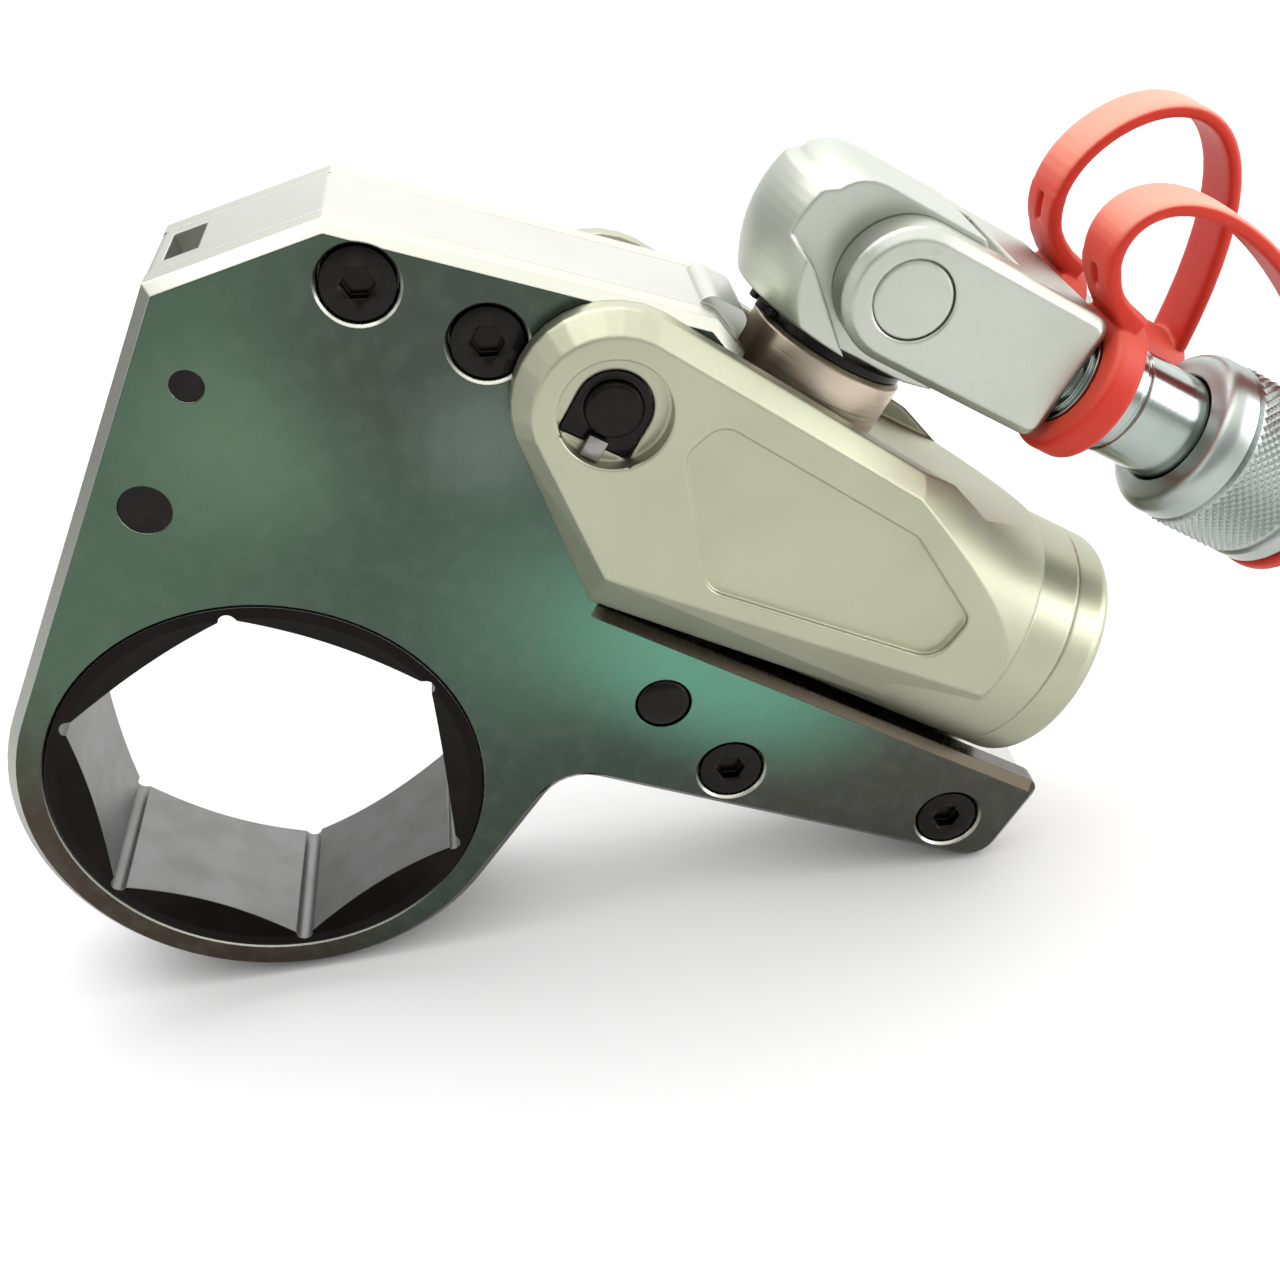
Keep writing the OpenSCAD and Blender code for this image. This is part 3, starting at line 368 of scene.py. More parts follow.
def bright_finish(colours):
    """Ground bright steel with a fine straight grain."""
    f = Finish("bright_steel")
    grain = f.noise(120.0, 5.0, stretch=(1, 30, 1), at=f.barrel())
    cloud = f.noise(60.0, 3.0)
    colour = f.mix(cloud.ramp(0.3, 0.75) * 0.4, colours.bright[:], linear(182, 181, 174))
    normal = f.bump(grain, 0.08, 0.0003, f.bevel(0.0004))
    return f.surface(Base_Color=colour, Metallic=1.0, Roughness=0.26 + 0.14 * grain, Normal=normal)


def black_finish(colours):
    """Black oxide with rubbed edges and a film of oil."""
    f = Finish("black_oxide")
    cloud = f.noise(420.0, 4.0)
    worn = f.mix(f.edge(0.0004).ramp(0.02, 0.2) * 0.5, colours.black[:], linear(92, 84, 80))
    colour = f.mix(cloud.ramp(0.4, 0.75) * 0.3, worn, linear(44, 38, 36))
    normal = f.bump(cloud, 0.1, 0.0002, f.bevel(0.0003))
    return f.surface(
        Base_Color=colour, Metallic=0.95, Roughness=0.3 + 0.16 * cloud, Coat_Weight=0.2, Coat_Roughness=0.12,
        Normal=normal
    )


def socket_finish():
    """Blackened ring faces, with satin walls inside the hexagon."""
    f = Finish("socket_steel")
    flat = f.facing().ramp(0.35, 0.55)
    grain = f.noise(150.0, 5.0, stretch=(1, 0.04, 1))
    cloud = f.noise(140.0, 4.0)
    wall = f.mix(cloud.ramp(0.3, 0.75) * 0.5, linear(120, 121, 120), linear(98, 97, 95))
    face = f.mix(cloud.ramp(0.4, 0.8) * 0.4, linear(20, 16, 15), linear(34, 29, 27))
    colour = f.mix(flat, wall, face)
    normal = f.bump(grain, 0.08, 0.0003, f.bevel(0.0005))
    rough = 0.34 + 0.12 * grain - 0.08 * flat
    return f.surface(Base_Color=colour, Metallic=0.9, Roughness=rough, Normal=normal)


def drive_finish():
    """Oiled tool steel."""
    f = Finish("drive_steel")
    cloud = f.noise(180.0, 4.0)
    grain = f.noise(140.0, 5.0, stretch=(1, 1, 16))
    colour = f.mix(cloud.ramp(0.3, 0.75) * 0.6, linear(150, 148, 144), linear(108, 102, 96))
    normal = f.bump(grain, 0.1, 0.0003, f.bevel(0.0003))
    return f.surface(Base_Color=colour, Metallic=1.0, Roughness=0.28 + 0.16 * cloud, Normal=normal)


def plated_finish(name, colour, shade, roughness):
    """Satin plating over a bead-blasted surface, a little uneven in tone."""
    f = Finish(name)
    blast = f.noise(2600.0, 2.0)
    cloud = f.noise(38.0, 3.0)
    speck = f.noise(900.0, 3.0)
    tone = f.mix(cloud.ramp(0.3, 0.72) * 0.55, colour, shade)
    tone = f.mix(speck.ramp(0.55, 0.8) * 0.12, tone, linear(120, 116, 104))
    normal = f.bump(blast, 0.12, 0.00012, f.bevel(0.001))
    return f.surface(Base_Color=tone, Metallic=0.92, Roughness=roughness + 0.1 * cloud, Normal=normal)


def post_finish(colours):
    """Hardened steel with turning marks round the post."""
    f = Finish("post_steel")
    rings = f.noise(60.0, 4.0, stretch=(1, 1, 46), at=f.barrel())
    cloud = f.noise(110.0, 3.0)
    colour = f.mix(cloud.ramp(0.3, 0.75) * 0.6, colours.post[:], linear(202, 188, 172))
    normal = f.bump(rings, 0.14, 0.0003, f.bevel(0.0005))
    return f.surface(Base_Color=colour, Metallic=1.0, Roughness=0.24 + 0.18 * rings, Normal=normal)


def chrome_finish():
    """Bright chrome with soft cloudy tones."""
    f = Finish("chrome")
    cloud = f.noise(120.0, 3.0)
    rings = f.noise(70.0, 4.0, stretch=(40, 1, 1), at=f.barrel())
    colour = f.mix(cloud.ramp(0.35, 0.75) * 0.4, linear(162, 171, 166), linear(136, 146, 140))
    normal = f.bump(rings, 0.05, 0.0002, f.bevel(0.0003))
    return f.surface(Base_Color=colour, Metallic=1.0, Roughness=0.14 + 0.1 * rings, Normal=normal)


def satin_finish():
    """Satin chrome of the collar, with painted shade darkening the knurl's grooves."""
    f = Finish("satin_chrome")
    cloud = f.noise(120.0, 3.0)
    # Painted shade: darker where the surface is concave, in the knurl's grooves
    groove = 1 - f.node("NewGeometry", out="Pointiness").ramp(0.44, 0.52)
    colour = f.mix(cloud.ramp(0.35, 0.75) * 0.4, linear(168, 175, 170), linear(150, 158, 153))
    colour = f.mix(groove * 0.8, colour, linear(92, 100, 94))
    return f.surface(Base_Color=colour, Metallic=1.0, Roughness=0.3 + 0.08 * cloud)


def seal_finish():
    """Black nitrile."""
    f = Finish("seal_rubber")
    cloud = f.noise(500.0, 3.0)
    colour = f.mix(cloud, linear(26, 26, 28), linear(44, 44, 46))
    normal = f.bump(cloud, 0.2, 0.0002, f.bevel(0.0003))
    return f.surface(Base_Color=colour, Roughness=0.5 + 0.15 * cloud, Normal=normal)


def rubber_finish(colours):
    """Coral rubber with a fine moulded skin and a pale painted highlight on surfaces that face up, most of it
    on top of the straps.
    """
    f = Finish("red_rubber")
    skin = f.noise(1400.0, 3.0)
    cloud = f.noise(55.0, 3.0)
    up = f.rising()
    colour = f.mix(cloud.ramp(0.3, 0.75) * 0.5, colours.rubber[:], linear(182, 38, 22))
    # Painted highlight: pale on surfaces that face up, more on the high parts of the straps
    high = f.node("SeparateXYZ", {}, {0: f.barrel()}, out="Z").ramp(0.146, 0.166)
    painted_top_highlight = (up + 0.25 * cloud).ramp(0.35, 1.0) * (0.2 + 0.65 * high)
    colour = f.mix(painted_top_highlight, colour, linear(232, 152, 130))
    bumped = f.bump(skin, 0.15, 0.00015, f.node("NewGeometry", out="Normal"))
    return f.surface(
        Base_Color=colour, Roughness=0.42 + 0.14 * skin, Specular_IOR_Level=0.3, Subsurface_Weight=0.15,
        Subsurface_Radius=(0.004, 0.001, 0.0008), Normal=bumped
    )


def floor_finish(colour):
    """Pale matt floor with a faint unevenness."""
    f = Finish("pale_floor")
    cloud = f.noise(3.0, 2.0)
    tone = f.mix(cloud, tuple(colour), tuple(c * 0.985 for c in colour[:3]) + (1.0,))
    return f.surface(Base_Color=tone, Roughness=0.85)


# Finishes by name, made by the first operator and worn by all the pieces
FINISHES = {}


def wear(finish, *nodes):
    """Gives CAD nodes a finish."""
    for name in nodes:
        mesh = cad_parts[name].data
        mesh.materials.clear()
        mesh.materials.append(FINISHES[finish])


def turn(bm, profile, centre, axis, steps=96):
    """Row of (radius, distance along the axis) points turned a full round."""
    axis = Vector(axis)
    out = Vector((0, 0, 1))
    verts = [bm.verts.new(Vector(centre) + out * r + axis * a) for r, a in profile]
    edges = [bm.edges.new(pair) for pair in zip(verts, verts[1:])]
    bmesh.ops.spin(
        bm, geom=verts + edges, cent=centre, axis=axis, angle=math.tau, steps=steps, use_merge=True,
        use_duplicate=False
    )
    bmesh.ops.remove_doubles(bm, verts=bm.verts, dist=1e-4)


def break_edges(bm, width, segments=2, angle=30):
    """Rounds every edge that is sharper than an angle, in degrees."""
    sharp = [e for e in bm.edges if len(e.link_faces) == 2 and e.calc_face_angle() > math.radians(angle)]
    bmesh.ops.bevel(
        bm, geom=sharp, offset=width, offset_type="OFFSET", affect="EDGES", segments=segments, profile=0.5,
        material=-1, clamp_overlap=True
    )


def block(bm, low, high):
    """Box between two corners."""
    low, high = Vector(low), Vector(high)
    place = Matrix.Translation((low + high) / 2) @ Matrix.Diagonal((*(high - low), 1))
    bmesh.ops.create_cube(bm, size=1, matrix=place)


def join(bm, other):
    """Moves the shell of another bmesh into this one."""
    mesh = bpy.data.meshes.new("shell")
    other.to_mesh(mesh)
    other.free()
    bm.from_mesh(mesh)
    bpy.data.meshes.remove(mesh)


def whole(bm):
    """All the geometry of a bmesh, for an operator that asks for a list."""
    return bm.verts[:] + bm.edges[:] + bm.faces[:]


def place_piece(name, bm, body, slot, finish, *nodes, sharp=32):
    """Makes a bmesh in the barrel frame a piece that rides on a body in place of CAD nodes."""
    bmesh.ops.recalc_face_normals(bm, faces=bm.faces)
    bmesh.ops.transform(bm, matrix=STAND, verts=bm.verts)
    mesh = bpy.data.meshes.new(name)
    bm.to_mesh(mesh)
    bm.free()
    mesh.shade_smooth()
    mesh.set_sharp_from_angle(angle=math.radians(sharp))
    mesh.materials.append(FINISHES[finish])
    piece = bpy.data.objects.new(name, mesh)
    bpy.context.scene.collection.objects.link(piece)
    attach(piece, body)
    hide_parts(*nodes)
    return piece


def solid_copy(node):
    """Merged copy of a CAD node in the barrel frame, without the normals that came with it."""
    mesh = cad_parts[node].data.copy()
    if "custom_normal" in mesh.attributes:
        mesh.attributes.remove(mesh.attributes["custom_normal"])
    bm = bmesh.new()
    bm.from_mesh(mesh)
    bpy.data.meshes.remove(mesh)
    bmesh.ops.transform(bm, matrix=STAND.inverted(), verts=bm.verts)
    bmesh.ops.remove_doubles(bm, verts=bm.verts, dist=0.02)
    bm.normal_update()
    return bm


def moulded(piece, grain):
    """Merges a piece's shells into one soft skin."""
    remesh = piece.modifiers.new("skin", "REMESH")
    remesh.mode = "VOXEL"
    remesh.voxel_size = grain
    smooth = piece.modifiers.new("soften", "SMOOTH")
    smooth.factor = 0.5
    smooth.iterations = 5
    bpy.context.view_layer.update()
    made = bpy.data.meshes.new_from_object(piece.evaluated_get(bpy.context.evaluated_depsgraph_get()))
    made.materials.clear()
    made.materials.append(piece.data.materials[0])
    piece.modifiers.clear()
    piece.data = made
    made.shade_smooth()


def curve_point(points, t):
    """Point of a cubic curve with four control points."""
    u = 1 - t
    weights = (u ** 3, 3 * u * u * t, 3 * u * t * t, t ** 3)
    return sum((w * p for w, p in zip(weights, points)), Vector((0, 0, 0)))


def station(points, t, width, thickness, shift):
    """Matrix from the unit section to a strap's section at t, moved sideways by shift."""
    middle = curve_point(points, t)
    ahead = (curve_point(points, min(1, t + 0.01)) - curve_point(points, max(0, t - 0.01))).normalized()
    side = Vector((0, 1, 0))
    out = ahead.cross(side)
    turn_to = Matrix((side, out, ahead)).transposed().to_4x4()
    size = Matrix.Diagonal((width / 2, thickness / 2, 1, 1))
    return Matrix.Translation(middle + side * shift) @ turn_to @ size


def sweep(bm, stations):
    """Flat rounded section carried through a row of stations."""
    ring = bmesh.ops.create_circle(bm, cap_ends=True, segments=20, radius=1)["verts"]
    for v in ring:
        x, y = v.co.x, v.co.y
        v.co.x = math.copysign(abs(x) ** 0.3, x)
        v.co.y = math.copysign(abs(y) ** 0.45, y)
    face = next(f for f in ring[0].link_faces)
    bmesh.ops.transform(bm, matrix=stations[0], verts=ring)
    for before, after in zip(stations, stations[1:]):
        made = bmesh.ops.extrude_face_region(bm, geom=[face])["geom"]
        face = next(g for g in made if isinstance(g, bmesh.types.BMFace))
        bmesh.ops.transform(bm, matrix=after @ before.inverted(), verts=face.verts)


class PieceOperator:
    """What the operators share: the settings of the scene."""

    bl_options = {"REGISTER", "UNDO"}

    @property
    def sizes(self):
        return bpy.context.scene.wrench_sizes

    @property
    def colours(self):
        return bpy.context.scene.wrench_colours


class WRENCH_OT_finishes(PieceOperator, bpy.types.Operator):
    """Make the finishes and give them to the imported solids"""

    bl_idname = "wrench.finishes"
    bl_label = "Finishes"

    def execute(self, context):
        colours = self.colours
        FINISHES.update(
            plate=plate_finish(colours),
            bright=bright_finish(colours),
            black=black_finish(colours),
            socket=socket_finish(),
            drive=drive_finish(),
            head=plated_finish("champagne_plating", colours.head[:], linear(160, 160, 138), 0.34),
            swivel=plated_finish("ivory_plating", colours.swivel[:], linear(174, 180, 168), 0.32),
            post=post_finish(colours),
            chrome=chrome_finish(),
            satin=satin_finish(),
            seal=seal_finish(),
            rubber=rubber_finish(colours),
        )
        wear("plate", "front_side_plate", "rear_side_plate")
        wear("bright", "top_spacer", "reaction_block")
        wear("black", "link_screws", "spacer_dowel", "lever_stop_pin", "release_button", "link_pin",
             "post_retaining_ring")
        wear("socket", "ratchet_socket")
        wear("drive", "drive_lever", "drive_pawl", "drive_pawl_springs", "holding_pawl", "holding_pawl_pivot",
             "holding_pawl_spring", "button_spring", "rod_gland", "piston", "rod_cross_pin")
        wear("head", "cylinder_body", "end_cap")
        wear("swivel", "swivel_block", "yoke", "pivot_pins")
        wear("post", "swivel_post")
        wear("chrome", "piston_rod", "link_pin_clip", "near_coupler_body", "near_coupler_collar",
             "far_coupler_body")
        wear("seal", "rod_seal", "piston_seal", "post_seals")
        wear("rubber", "near_dust_cap", "far_dust_cap")
        return {"FINISHED"}


class WRENCH_OT_plates(PieceOperator, bpy.types.Operator):
    """Model the side plates with their bevel carried round the bend under the arm"""

    bl_idname = "wrench.plates"
    bl_label = "Side plates"

    def execute(self, context):
        near = 0.05
        plates = ((-1, "front_plate", "front_side_plate"), (1, "rear_plate", "rear_side_plate"))
        for side, name, node in plates:
            bm = solid_copy(node)
            centre = Vector((BEND_AT[0], side * LINK_Y, BEND_AT[1]))
            rim = [v for v in bm.verts if abs(v.co.y - centre.y) < near]
            bend = [v for v in rim if abs((v.co - centre).length - BEND_R) < near]
            walls = {f for v in bend for f in v.link_faces if abs(f.normal.y) < near}
            parts = walls | {e for f in walls for e in f.edges} | {v for f in walls for v in f.verts}
            bmesh.ops.bisect_plane(
                bm, geom=list(parts), dist=near, plane_co=(0, centre.y - side * PLATE_BEVEL, 0),
                plane_no=(0, 1, 0)
            )
            for v in bend:
                v.co = centre + (v.co - centre).normalized() * (BEND_R + PLATE_BEVEL)
            nose = Vector((0, centre.y, 0))
            for v in rim:
                if v.co.x > 0 > v.co.z and abs((v.co - nose).length - NOSE_R) < near:
                    v.co = nose + (v.co - nose) * (1 - PLATE_BEVEL / NOSE_R)
            bmesh.ops.remove_doubles(bm, verts=rim, dist=4 * near)
            bmesh.ops.dissolve_degenerate(bm, dist=0.01, edges=bm.edges)
            place_piece(name, bm, "frame", "side_plate_steel", "plate", node)
        return {"FINISHED"}


class WRENCH_OT_screws(PieceOperator, bpy.types.Operator):
    """Model the link's cap screws with broken edges and hexagon sockets"""

    bl_idname = "wrench.screws"
    bl_label = "Link screws"

    def execute(self, context):
        top, under, end = 0.5 - LINK_Y, 3.98 - LINK_Y, LINK_Y - 0.8
        head_r, shank_r, lead_r = 6.0, 4.0, 3.1
        key_r, key_lead, key_depth = 2.8, 0.3, 2.1
        bm = bmesh.new()
        for x, z in SCREWS_AT:
            one = bmesh.new()
            turn(one, (
                (lead_r, top), (head_r, top), (head_r, under), (shank_r, under), (shank_r, end), (0, end)
            ), (x, 0, z), (0, 1, 0), 48)
            break_edges(one, self.sizes.edge_round / MM)
            bmesh.ops.create_circle(
                one, segments=6, radius=key_r,
                matrix=Matrix.Translation((x, top + key_lead, z)) @ Matrix.Rotation(math.pi / 2, 4, "X")
            )
            rims = [e for e in one.edges if e.is_boundary or e.is_wire]
            bmesh.ops.bridge_loops(one, edges=rims)
            deep = bmesh.ops.extrude_edge_only(one, edges=[e for e in one.edges if e.is_boundary])["geom"]
            low = [g for g in deep if isinstance(g, bmesh.types.BMVert)]
            bmesh.ops.translate(one, vec=(0, key_depth, 0), verts=low)
            bmesh.ops.contextual_create(one, geom=[e for e in one.edges if e.is_boundary])
            join(bm, one)
        place_piece("socket_screws", bm, "frame", "black_steel", "black", "link_screws")
        return {"FINISHED"}


class WRENCH_OT_button(PieceOperator, bpy.types.Operator):
    """Model the domed release button"""

    bl_idname = "wrench.button"
    bl_label = "Release button"

    def execute(self, context):
        bm = bmesh.new()
        radius, stem_r = 5.0, 3.0
        rim, rise, shoulder, stem_end = -15.5, 1.4, -10.4, -2.0
        crown = [
            (radius * math.sin(math.radians(a)), rim - rise * math.cos(math.radians(a)))
            for a in range(0, 91, 9)
        ]
        turn(bm, (
            *crown, (radius, shoulder), (stem_r, shoulder), (stem_r, stem_end), (0, stem_end)
        ), (BUTTON_AT[0], 0, BUTTON_AT[1]), (0, 1, 0), 64)
        place_piece("domed_button", bm, "button", "black_steel", "black", "release_button", sharp=40)
        return {"FINISHED"}


class WRENCH_OT_spring(PieceOperator, bpy.types.Operator):
    """Model the button's return spring, which on the real tool shortens as the button goes in; here it is a
    coil at its rest length
    """

    bl_idname = "wrench.spring"
    bl_label = "Return spring"

    def execute(self, context):
        coil_r, wire_r, turns, steps = 2.2, 0.5, 6, 24
        seat, tip, travel = 9.9, -1.9, 2.5
        rise = (seat - tip - 2 * wire_r) / (turns * steps)
        centre = Vector((BUTTON_AT[0], seat - wire_r, BUTTON_AT[1]))
        bm = bmesh.new()
        start = Matrix.Translation(centre + Vector((coil_r, 0, 0)))
        bmesh.ops.create_circle(bm, cap_ends=True, segments=10, radius=wire_r, matrix=start)
        bmesh.ops.spin(
            bm, geom=whole(bm), cent=centre, axis=(0, 1, 0), dvec=(0, -rise, 0), angle=math.tau * turns,
            steps=turns * steps, use_merge=False, use_duplicate=False
        )
        piece = place_piece("return_spring", bm, "frame", "drive_steel", "drive", "button_spring")
        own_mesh(piece)
        return {"FINISHED"}


class WRENCH_OT_link_pin(PieceOperator, bpy.types.Operator):
    """Model the round-ended link pin with its flat-sided head, and its spring clip"""

    bl_idname = "wrench.link_pin"
    bl_label = "Link pin"

    def execute(self, context):
        bm = bmesh.new()
        x, z = PIN_AT
        tip, head, seat, end = 1.8 - HEAD_Y, 3.4 - HEAD_Y, 5.55 - HEAD_Y, HEAD_Y - 5.6
        pin_r, end_round, head_r, foot_drop = 5.0, 1.1, 6.2, 6.9
        turn(bm, ((0, tip), (pin_r, tip), (pin_r, end), (0, end)), (x, 0, z), (0, 1, 0), 64)
        break_edges(bm, end_round, 5)
        collar = bmesh.new()
        turn(collar, ((0, head), (head_r, head), (head_r, seat), (0, seat)), (x, 0, z), (0, 1, 0), 64)
        cut = bmesh.ops.bisect_plane(
            collar, geom=whole(collar), plane_co=(x, 0, z), plane_no=(0, 0, -1), clear_outer=True
        )["geom_cut"]
        made = bmesh.ops.contextual_create(collar, geom=[g for g in cut if isinstance(g, bmesh.types.BMEdge)])
        foot = bmesh.ops.extrude_face_region(collar, geom=made["faces"])["geom"]
        low = [g for g in foot if isinstance(g, bmesh.types.BMVert)]
        bmesh.ops.translate(collar, vec=(0, 0, -foot_drop), verts=low)
        bmesh.ops.delete(collar, geom=made["faces"], context="FACES_ONLY")
        break_edges(collar, 0.3)
        join(bm, collar)
        place_piece("round_ended_pin", bm, "frame", "black_steel", "black", "link_pin")

        clip = bmesh.new()
        half, low, high = 1.75, z - 9.1, z - 5.3
        block(clip, (x - half, 1.6 - HEAD_Y, low), (x + half, 3.15 - HEAD_Y, high))
        break_edges(clip, 0.3)
        place_piece("pin_clip", clip, "frame", "chrome", "drive", "link_pin_clip")
        return {"FINISHED"}


class WRENCH_OT_pivots(PieceOperator, bpy.types.Operator):
    """Model the yoke's pivot pins with a chamfer that shows as a groove in the yoke's side"""

    bl_idname = "wrench.pivots"
    bl_label = "Pivot pins"

    def execute(self, context):
        bm = bmesh.new()
        radius, face, end = 6.7, YOKE_Y - 0.2, 10.4
        bore_r, bore_end = 2, YOKE_Y - 6
        profile = (
            (0, face), (radius - 0.45, face), (radius, face - 0.5), (radius, end), (bore_r, end),
            (bore_r, bore_end), (0, bore_end)
        )
        for side in (-1, 1):
            turn(bm, [(r, side * y) for r, y in profile], (POST_X, 0, PIVOT_Z), (0, 1, 0), 64)
        place_piece("grooved_pivots", bm, "hose_yoke", "head_alloy", "swivel", "pivot_pins")
        return {"FINISHED"}


class WRENCH_OT_collar(PieceOperator, bpy.types.Operator):
    """Model the coupler's collar with a diamond knurl"""

    bl_idname = "wrench.collar"
    bl_label = "Knurled collar"

    def execute(self, context):
        outer, depth = COLLAR_R, self.sizes.knurl_depth / MM
        steps = 2 * self.sizes.knurl_count
        pitch = math.tau * outer / steps
        start, stop = COLLAR_X + 7.2, COLLAR_X + COLLAR_LEN - 5.4
        rows = round((stop - start) / pitch)
        knurl = [(outer - depth, start + (stop - start) * i / rows) for i in range(rows + 1)]
        floor, end = COLLAR_X + 2.8, COLLAR_X + COLLAR_LEN
        shoulder = [
            (outer - 3.2 + 2.8 * math.sin(math.radians(a)), COLLAR_X + 3.4 - 3.0 * math.cos(math.radians(a)))
            for a in range(0, 91, 15)
        ]
        shoulder += [(outer - 0.4, start - 1.2), (outer - 0.8, start - 0.8)]
        bm = bmesh.new()
        turn(bm, (
            (COLLAR_BORE_R, floor), (COLLAR_BORE_R, COLLAR_X + 0.3), (COLLAR_BORE_R + 0.3, COLLAR_X),
            *shoulder, *knurl, (outer - 0.6, stop + 0.3), (outer - 0.6, stop + 1.0),
            (outer - 0.1, stop + 1.4), (outer - 0.1, end - 1.0), (outer - 0.9, end), (FLANGE_BORE_R, end),
            (FLANGE_BORE_R, floor), (COLLAR_BORE_R, floor)
        ), (0, -COUPLER_Y, PIVOT_Z), (1, 0, 0), steps)
        axis = Vector((0, -COUPLER_Y, PIVOT_Z))
        ups = set()
        for v in bm.verts:
            row = (v.co.x - start) / (stop - start) * rows
            arm = Vector((0, v.co.y - axis.y, v.co.z - axis.z))
            if not -0.1 < row < rows + 0.1 or arm.length < outer - depth - 0.05:
                continue
            step = math.atan2(arm.y, arm.z) / math.tau * steps
            if (round(row) + round(step)) % 2 == 0:
                ups.add(v)
                if 0.1 < row < rows - 0.1:
                    v.co += arm.normalized() * depth
        for face in [g for g in bm.faces if start - 0.1 < g.calc_center_median().x < stop + 0.1]:
            low = [v for v in face.verts if v not in ups]
            if len(low) == 2 and len(face.verts) == 4:
                bmesh.utils.face_split(face, low[0], low[1])
        place_piece("knurled_collar", bm, "collar", "chrome", "satin", "near_coupler_collar", sharp=18)
        return {"FINISHED"}


class WRENCH_OT_dust_caps(PieceOperator, bpy.types.Operator):
    """Model the moulded dust caps: a ring, a slit strap and a cap in one piece"""

    bl_idname = "wrench.dust_caps"
    bl_label = "Dust caps"

    def strap(self, bm, side, points):
        """Flared root, a slit between two legs, and the strap up to the cap."""
        width, thick = self.sizes.strap_width / MM, self.sizes.strap_thickness / MM
        points = [Vector((x, side * COUPLER_Y, z)) for x, z in points]
        root = [(0.0, 14.0, 4.6), (0.04, 13.6, 3.8), (0.08, 12.8, 3.2), (0.12, width, thick)]
        slit, slit_end = 0.11, 0.19
        leg_width, leg_shift = width * 0.42, width * 0.29
        sweep(bm, [station(points, t, w, h, 0) for t, w, h in root])
        for leg in (-1, 1):
            sweep(bm, [
                station(points, slit + 0.01 * i, leg_width, thick, leg * leg_shift) for i in range(10)
            ])
        sweep(bm, [
            station(points, slit_end + (1 - slit_end) * i / 30, width, thick, 0) for i in range(31)
        ])

    def ring(self, bm, side):
        """Ring that grips the coupler's seat."""
        low, high = CAP_RING_X, CAP_RING_X + CAP_RING_W
        r = CAP_RING_R
        turn(bm, (
            (CAP_SEAT_R, low), (r - 0.9, low), (r - 0.25, low + 0.3), (r, low + 1.0), (r, high - 1.0),
            (r - 0.25, high - 0.3), (r - 0.9, high), (CAP_SEAT_R, high), (CAP_SEAT_R, low)
        ), (0, side * COUPLER_Y, PIVOT_Z), (1, 0, 0), 72)

    def execute(self, context):
        grain = self.sizes.rubber_grain
        near = bmesh.new()
        self.ring(near, -1)
        cap_x, cap_r = COLLAR_X + COLLAR_LEN + 0.3, COLLAR_R + 0.2
        plug_x, plug_r = NEAR_TIP - 7, 8
        root = (CAP_RING_X + CAP_RING_W / 2, PIVOT_Z + CAP_RING_R - 1)
        self.strap(near, -1, (
            root, (YOKE_END - 19.5, PIVOT_Z + 17.4), (YOKE_END - 7.5, PIVOT_Z + 55.4),
            (cap_x + 2.8, PIVOT_Z + cap_r)
        ))
        turn(near, (
            (0, plug_x), (plug_r, plug_x), (plug_r, cap_x), (cap_r - 0.6, cap_x), (cap_r, cap_x + 0.6),
            (cap_r, cap_x + 2.4), (cap_r - 0.6, cap_x + 3), (10, cap_x + 3), (9.2, cap_x + 7.4),
            (8.6, cap_x + 8), (0, cap_x + 8)
        ), (0, -COUPLER_Y, PIVOT_Z), (1, 0, 0), 72)
        piece = place_piece("near_rubber_cap", near, "hose_yoke", "red_rubber", "rubber", "near_dust_cap")
        moulded(piece, grain)

        far = bmesh.new()
        self.ring(far, 1)
        cup_x, cup_floor, cup_end = FAR_NIPPLE_X + 0.4, FAR_TIP + 0.3, FAR_TIP + 3
        cup_r, bore = 10.8, 7.26
        self.strap(far, 1, (
            root, (YOKE_END - 28.8, PIVOT_Z + 19.4), (YOKE_END + 15.9, PIVOT_Z + 83.1),
            (FAR_TIP + 0.5, PIVOT_Z + cup_r - 1)
        ))
        turn(far, (
            (bore, cup_x), (cup_r - 1, cup_x), (cup_r, cup_x + 1), (cup_r, cup_end - 1), (cup_r - 1, cup_end),
            (0, cup_end), (0, cup_floor), (bore, cup_floor), (bore, cup_x)
        ), (0, COUPLER_Y, PIVOT_Z), (1, 0, 0), 72)
        piece = place_piece("far_rubber_cap", far, "hose_yoke", "red_rubber", "rubber", "far_dust_cap")
        moulded(piece, grain)
        return {"FINISHED"}


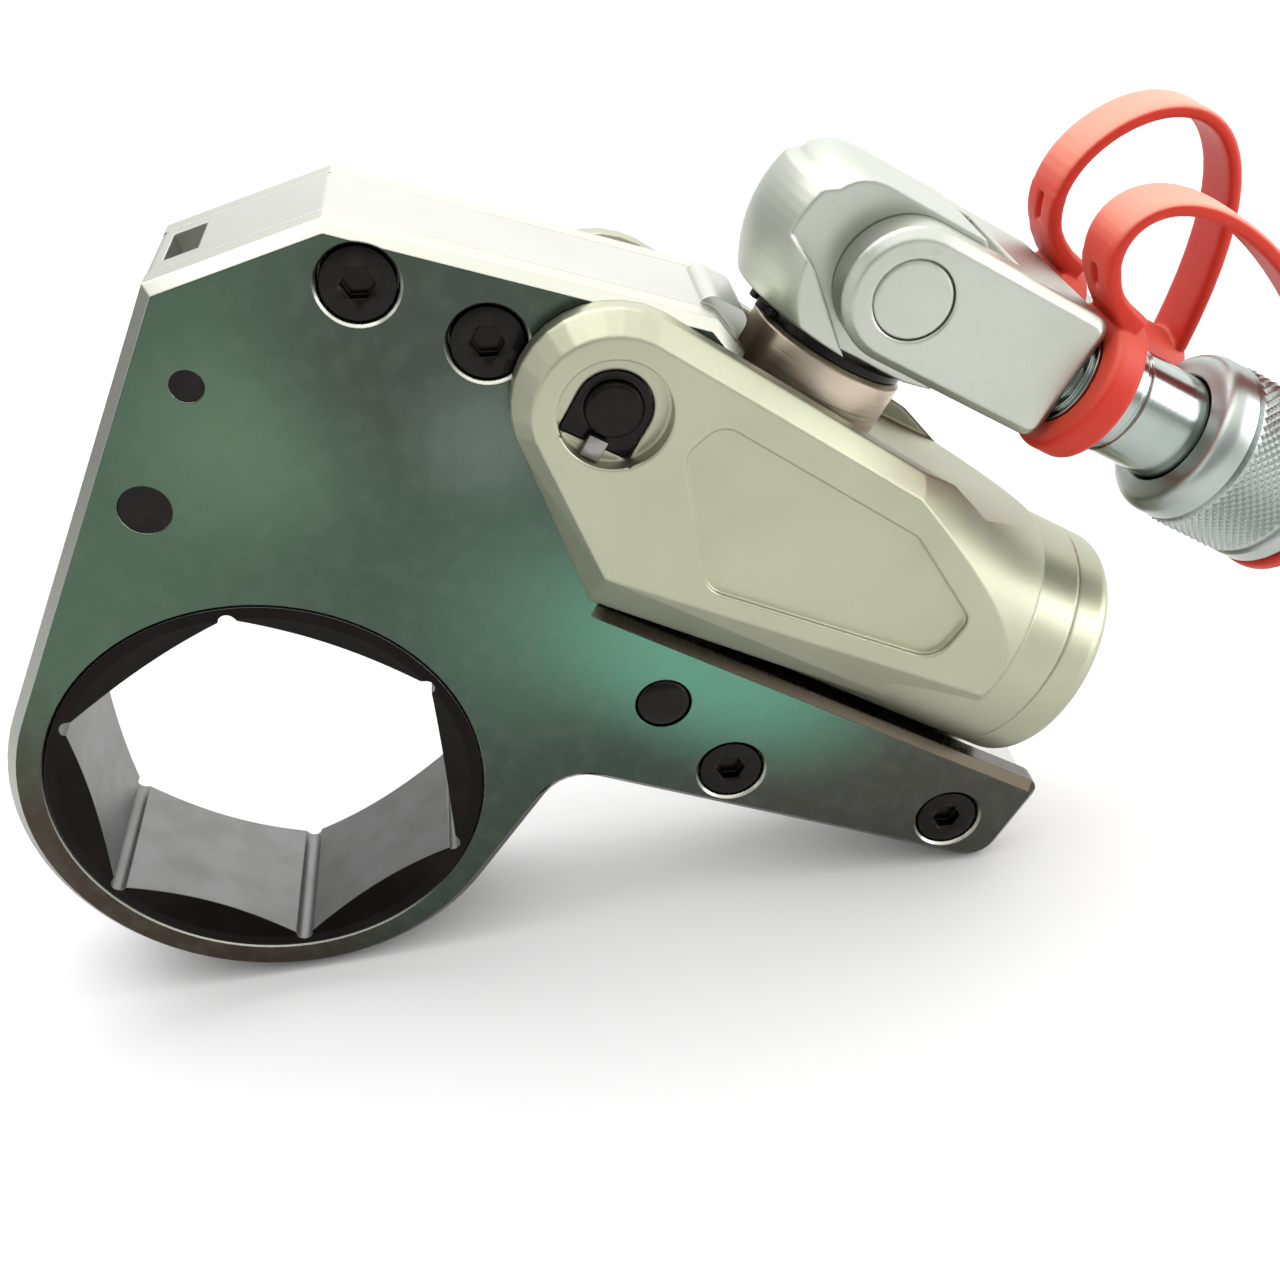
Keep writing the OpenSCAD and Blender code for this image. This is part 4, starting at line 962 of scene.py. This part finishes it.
class WRENCH_OT_stage(PieceOperator, bpy.types.Operator):
    """Make the floor, the lights and the camera"""

    bl_idname = "wrench.stage"
    bl_label = "Stage"

    def light(self, name, place, aim, size, power):
        """Rectangular soft light that points at a spot."""
        data = bpy.data.lights.new(name, "AREA")
        data.shape = "RECTANGLE"
        data.size, data.size_y = size
        data.energy = power
        lamp = bpy.data.objects.new(name, data)
        lamp.location = place
        lamp.rotation_euler = (Vector(aim) - Vector(place)).to_track_quat("-Z", "Y").to_euler()
        bpy.context.scene.collection.objects.link(lamp)

    def sky(self, horizon, zenith):
        """World that is dim before the tool and bright overhead and behind it to the right."""
        world = bpy.data.worlds.new("soft_sky")
        world.use_nodes = True
        nodes, links = world.node_tree.nodes, world.node_tree.links
        place = nodes.new("ShaderNodeTexCoord")
        lean = nodes.new("ShaderNodeVectorMath")
        lean.operation = "DOT_PRODUCT"
        lean.inputs[1].default_value = (0.4, 0.35, 0.8)
        climb = nodes.new("ShaderNodeMapRange")
        climb.interpolation_type = "SMOOTHSTEP"
        for name, value in (("From Min", 0.1), ("From Max", 0.7), ("To Min", horizon), ("To Max", zenith)):
            climb.inputs[name].default_value = value
        links.new(place.outputs["Generated"], lean.inputs[0])
        links.new(lean.outputs["Value"], climb.inputs["Value"])
        background = nodes["Background"]
        background.inputs["Color"].default_value = (1, 1, 1, 1)
        links.new(climb.outputs["Result"], background.inputs["Strength"])
        return world

    def execute(self, context):
        scene = context.scene
        stage = scene.wrench_stage
        bm = bmesh.new()
        bmesh.ops.create_grid(bm, x_segments=1, y_segments=1, size=4)
        bmesh.ops.translate(bm, vec=(0, 0, stage.floor_height - 0.0002), verts=bm.verts)
        mesh = bpy.data.meshes.new("floor")
        bm.to_mesh(mesh)
        bm.free()
        mesh.materials.append(floor_finish(stage.floor_colour))
        floor = bpy.data.objects.new("floor", mesh)
        scene.collection.objects.link(floor)

        scene.world = self.sky(stage.horizon, stage.zenith)

        self.light("overhead", (0.02, 0.12, 0.62), (0.07, 0, 0.03), (0.7, 0.5), stage.key)
        self.light("side", (-0.6, -0.25, 0.35), (0.03, 0, 0.03), (0.35, 0.5), stage.key * 0.2)
        self.light("right", (0.75, -0.15, 0.12), (0.14, 0, 0), (0.5, 0.4), stage.key)

        camera = bpy.data.objects.new("camera", bpy.data.cameras.new("camera"))
        camera.data.sensor_width = 36
        camera.data.lens = stage.lens
        camera.data.clip_start = 0.005
        eye = Vector((61.4, -240.6, 168.7)) * MM
        right, up, back = (0.9869, -0.1188, -0.1095), (0.1568, 0.5407, 0.8265), (-0.039, -0.8328, 0.5522)
        turned = Matrix((right, up, back)).transposed()
        camera.matrix_world = Matrix.Translation(eye) @ turned.to_4x4()
        scene.collection.objects.link(camera)
        scene.camera = camera
        scene.view_settings.view_transform = "Standard"
        return {"FINISHED"}


class WRENCH_PT_panel(bpy.types.Panel):
    """Settings and pieces of the wrench"""

    bl_idname = "WRENCH_PT_panel"
    bl_label = "Torque wrench"
    bl_space_type = "VIEW_3D"
    bl_region_type = "UI"
    bl_category = "Wrench"

    def draw(self, context):
        layout = self.layout
        scene = context.scene
        for group in (scene.wrench_sizes, scene.wrench_colours, scene.wrench_stage):
            column = layout.column()
            for name in group.__annotations__:
                column.prop(group, name)
        for operator in OPERATORS:
            layout.operator(operator.bl_idname)


OPERATORS = (
    WRENCH_OT_finishes, WRENCH_OT_plates, WRENCH_OT_screws, WRENCH_OT_button, WRENCH_OT_spring,
    WRENCH_OT_link_pin, WRENCH_OT_pivots, WRENCH_OT_collar, WRENCH_OT_dust_caps, WRENCH_OT_stage,
)
CLASSES = (WrenchSizes, WrenchColours, StageSettings, *OPERATORS, WRENCH_PT_panel)


def register():
    for cls in CLASSES:
        bpy.utils.register_class(cls)
    bpy.types.Scene.wrench_sizes = PointerProperty(type=WrenchSizes)
    bpy.types.Scene.wrench_colours = PointerProperty(type=WrenchColours)
    bpy.types.Scene.wrench_stage = PointerProperty(type=StageSettings)


def unregister():
    del bpy.types.Scene.wrench_stage, bpy.types.Scene.wrench_colours, bpy.types.Scene.wrench_sizes
    for cls in reversed(CLASSES):
        bpy.utils.unregister_class(cls)


def main():
    register()
    bpy.ops.wrench.finishes()
    bpy.ops.wrench.plates()
    bpy.ops.wrench.screws()
    bpy.ops.wrench.button()
    bpy.ops.wrench.spring()
    bpy.ops.wrench.link_pin()
    bpy.ops.wrench.pivots()
    bpy.ops.wrench.collar()
    bpy.ops.wrench.dust_caps()
    bpy.ops.wrench.stage()


if __name__ == "__main__":
    main()
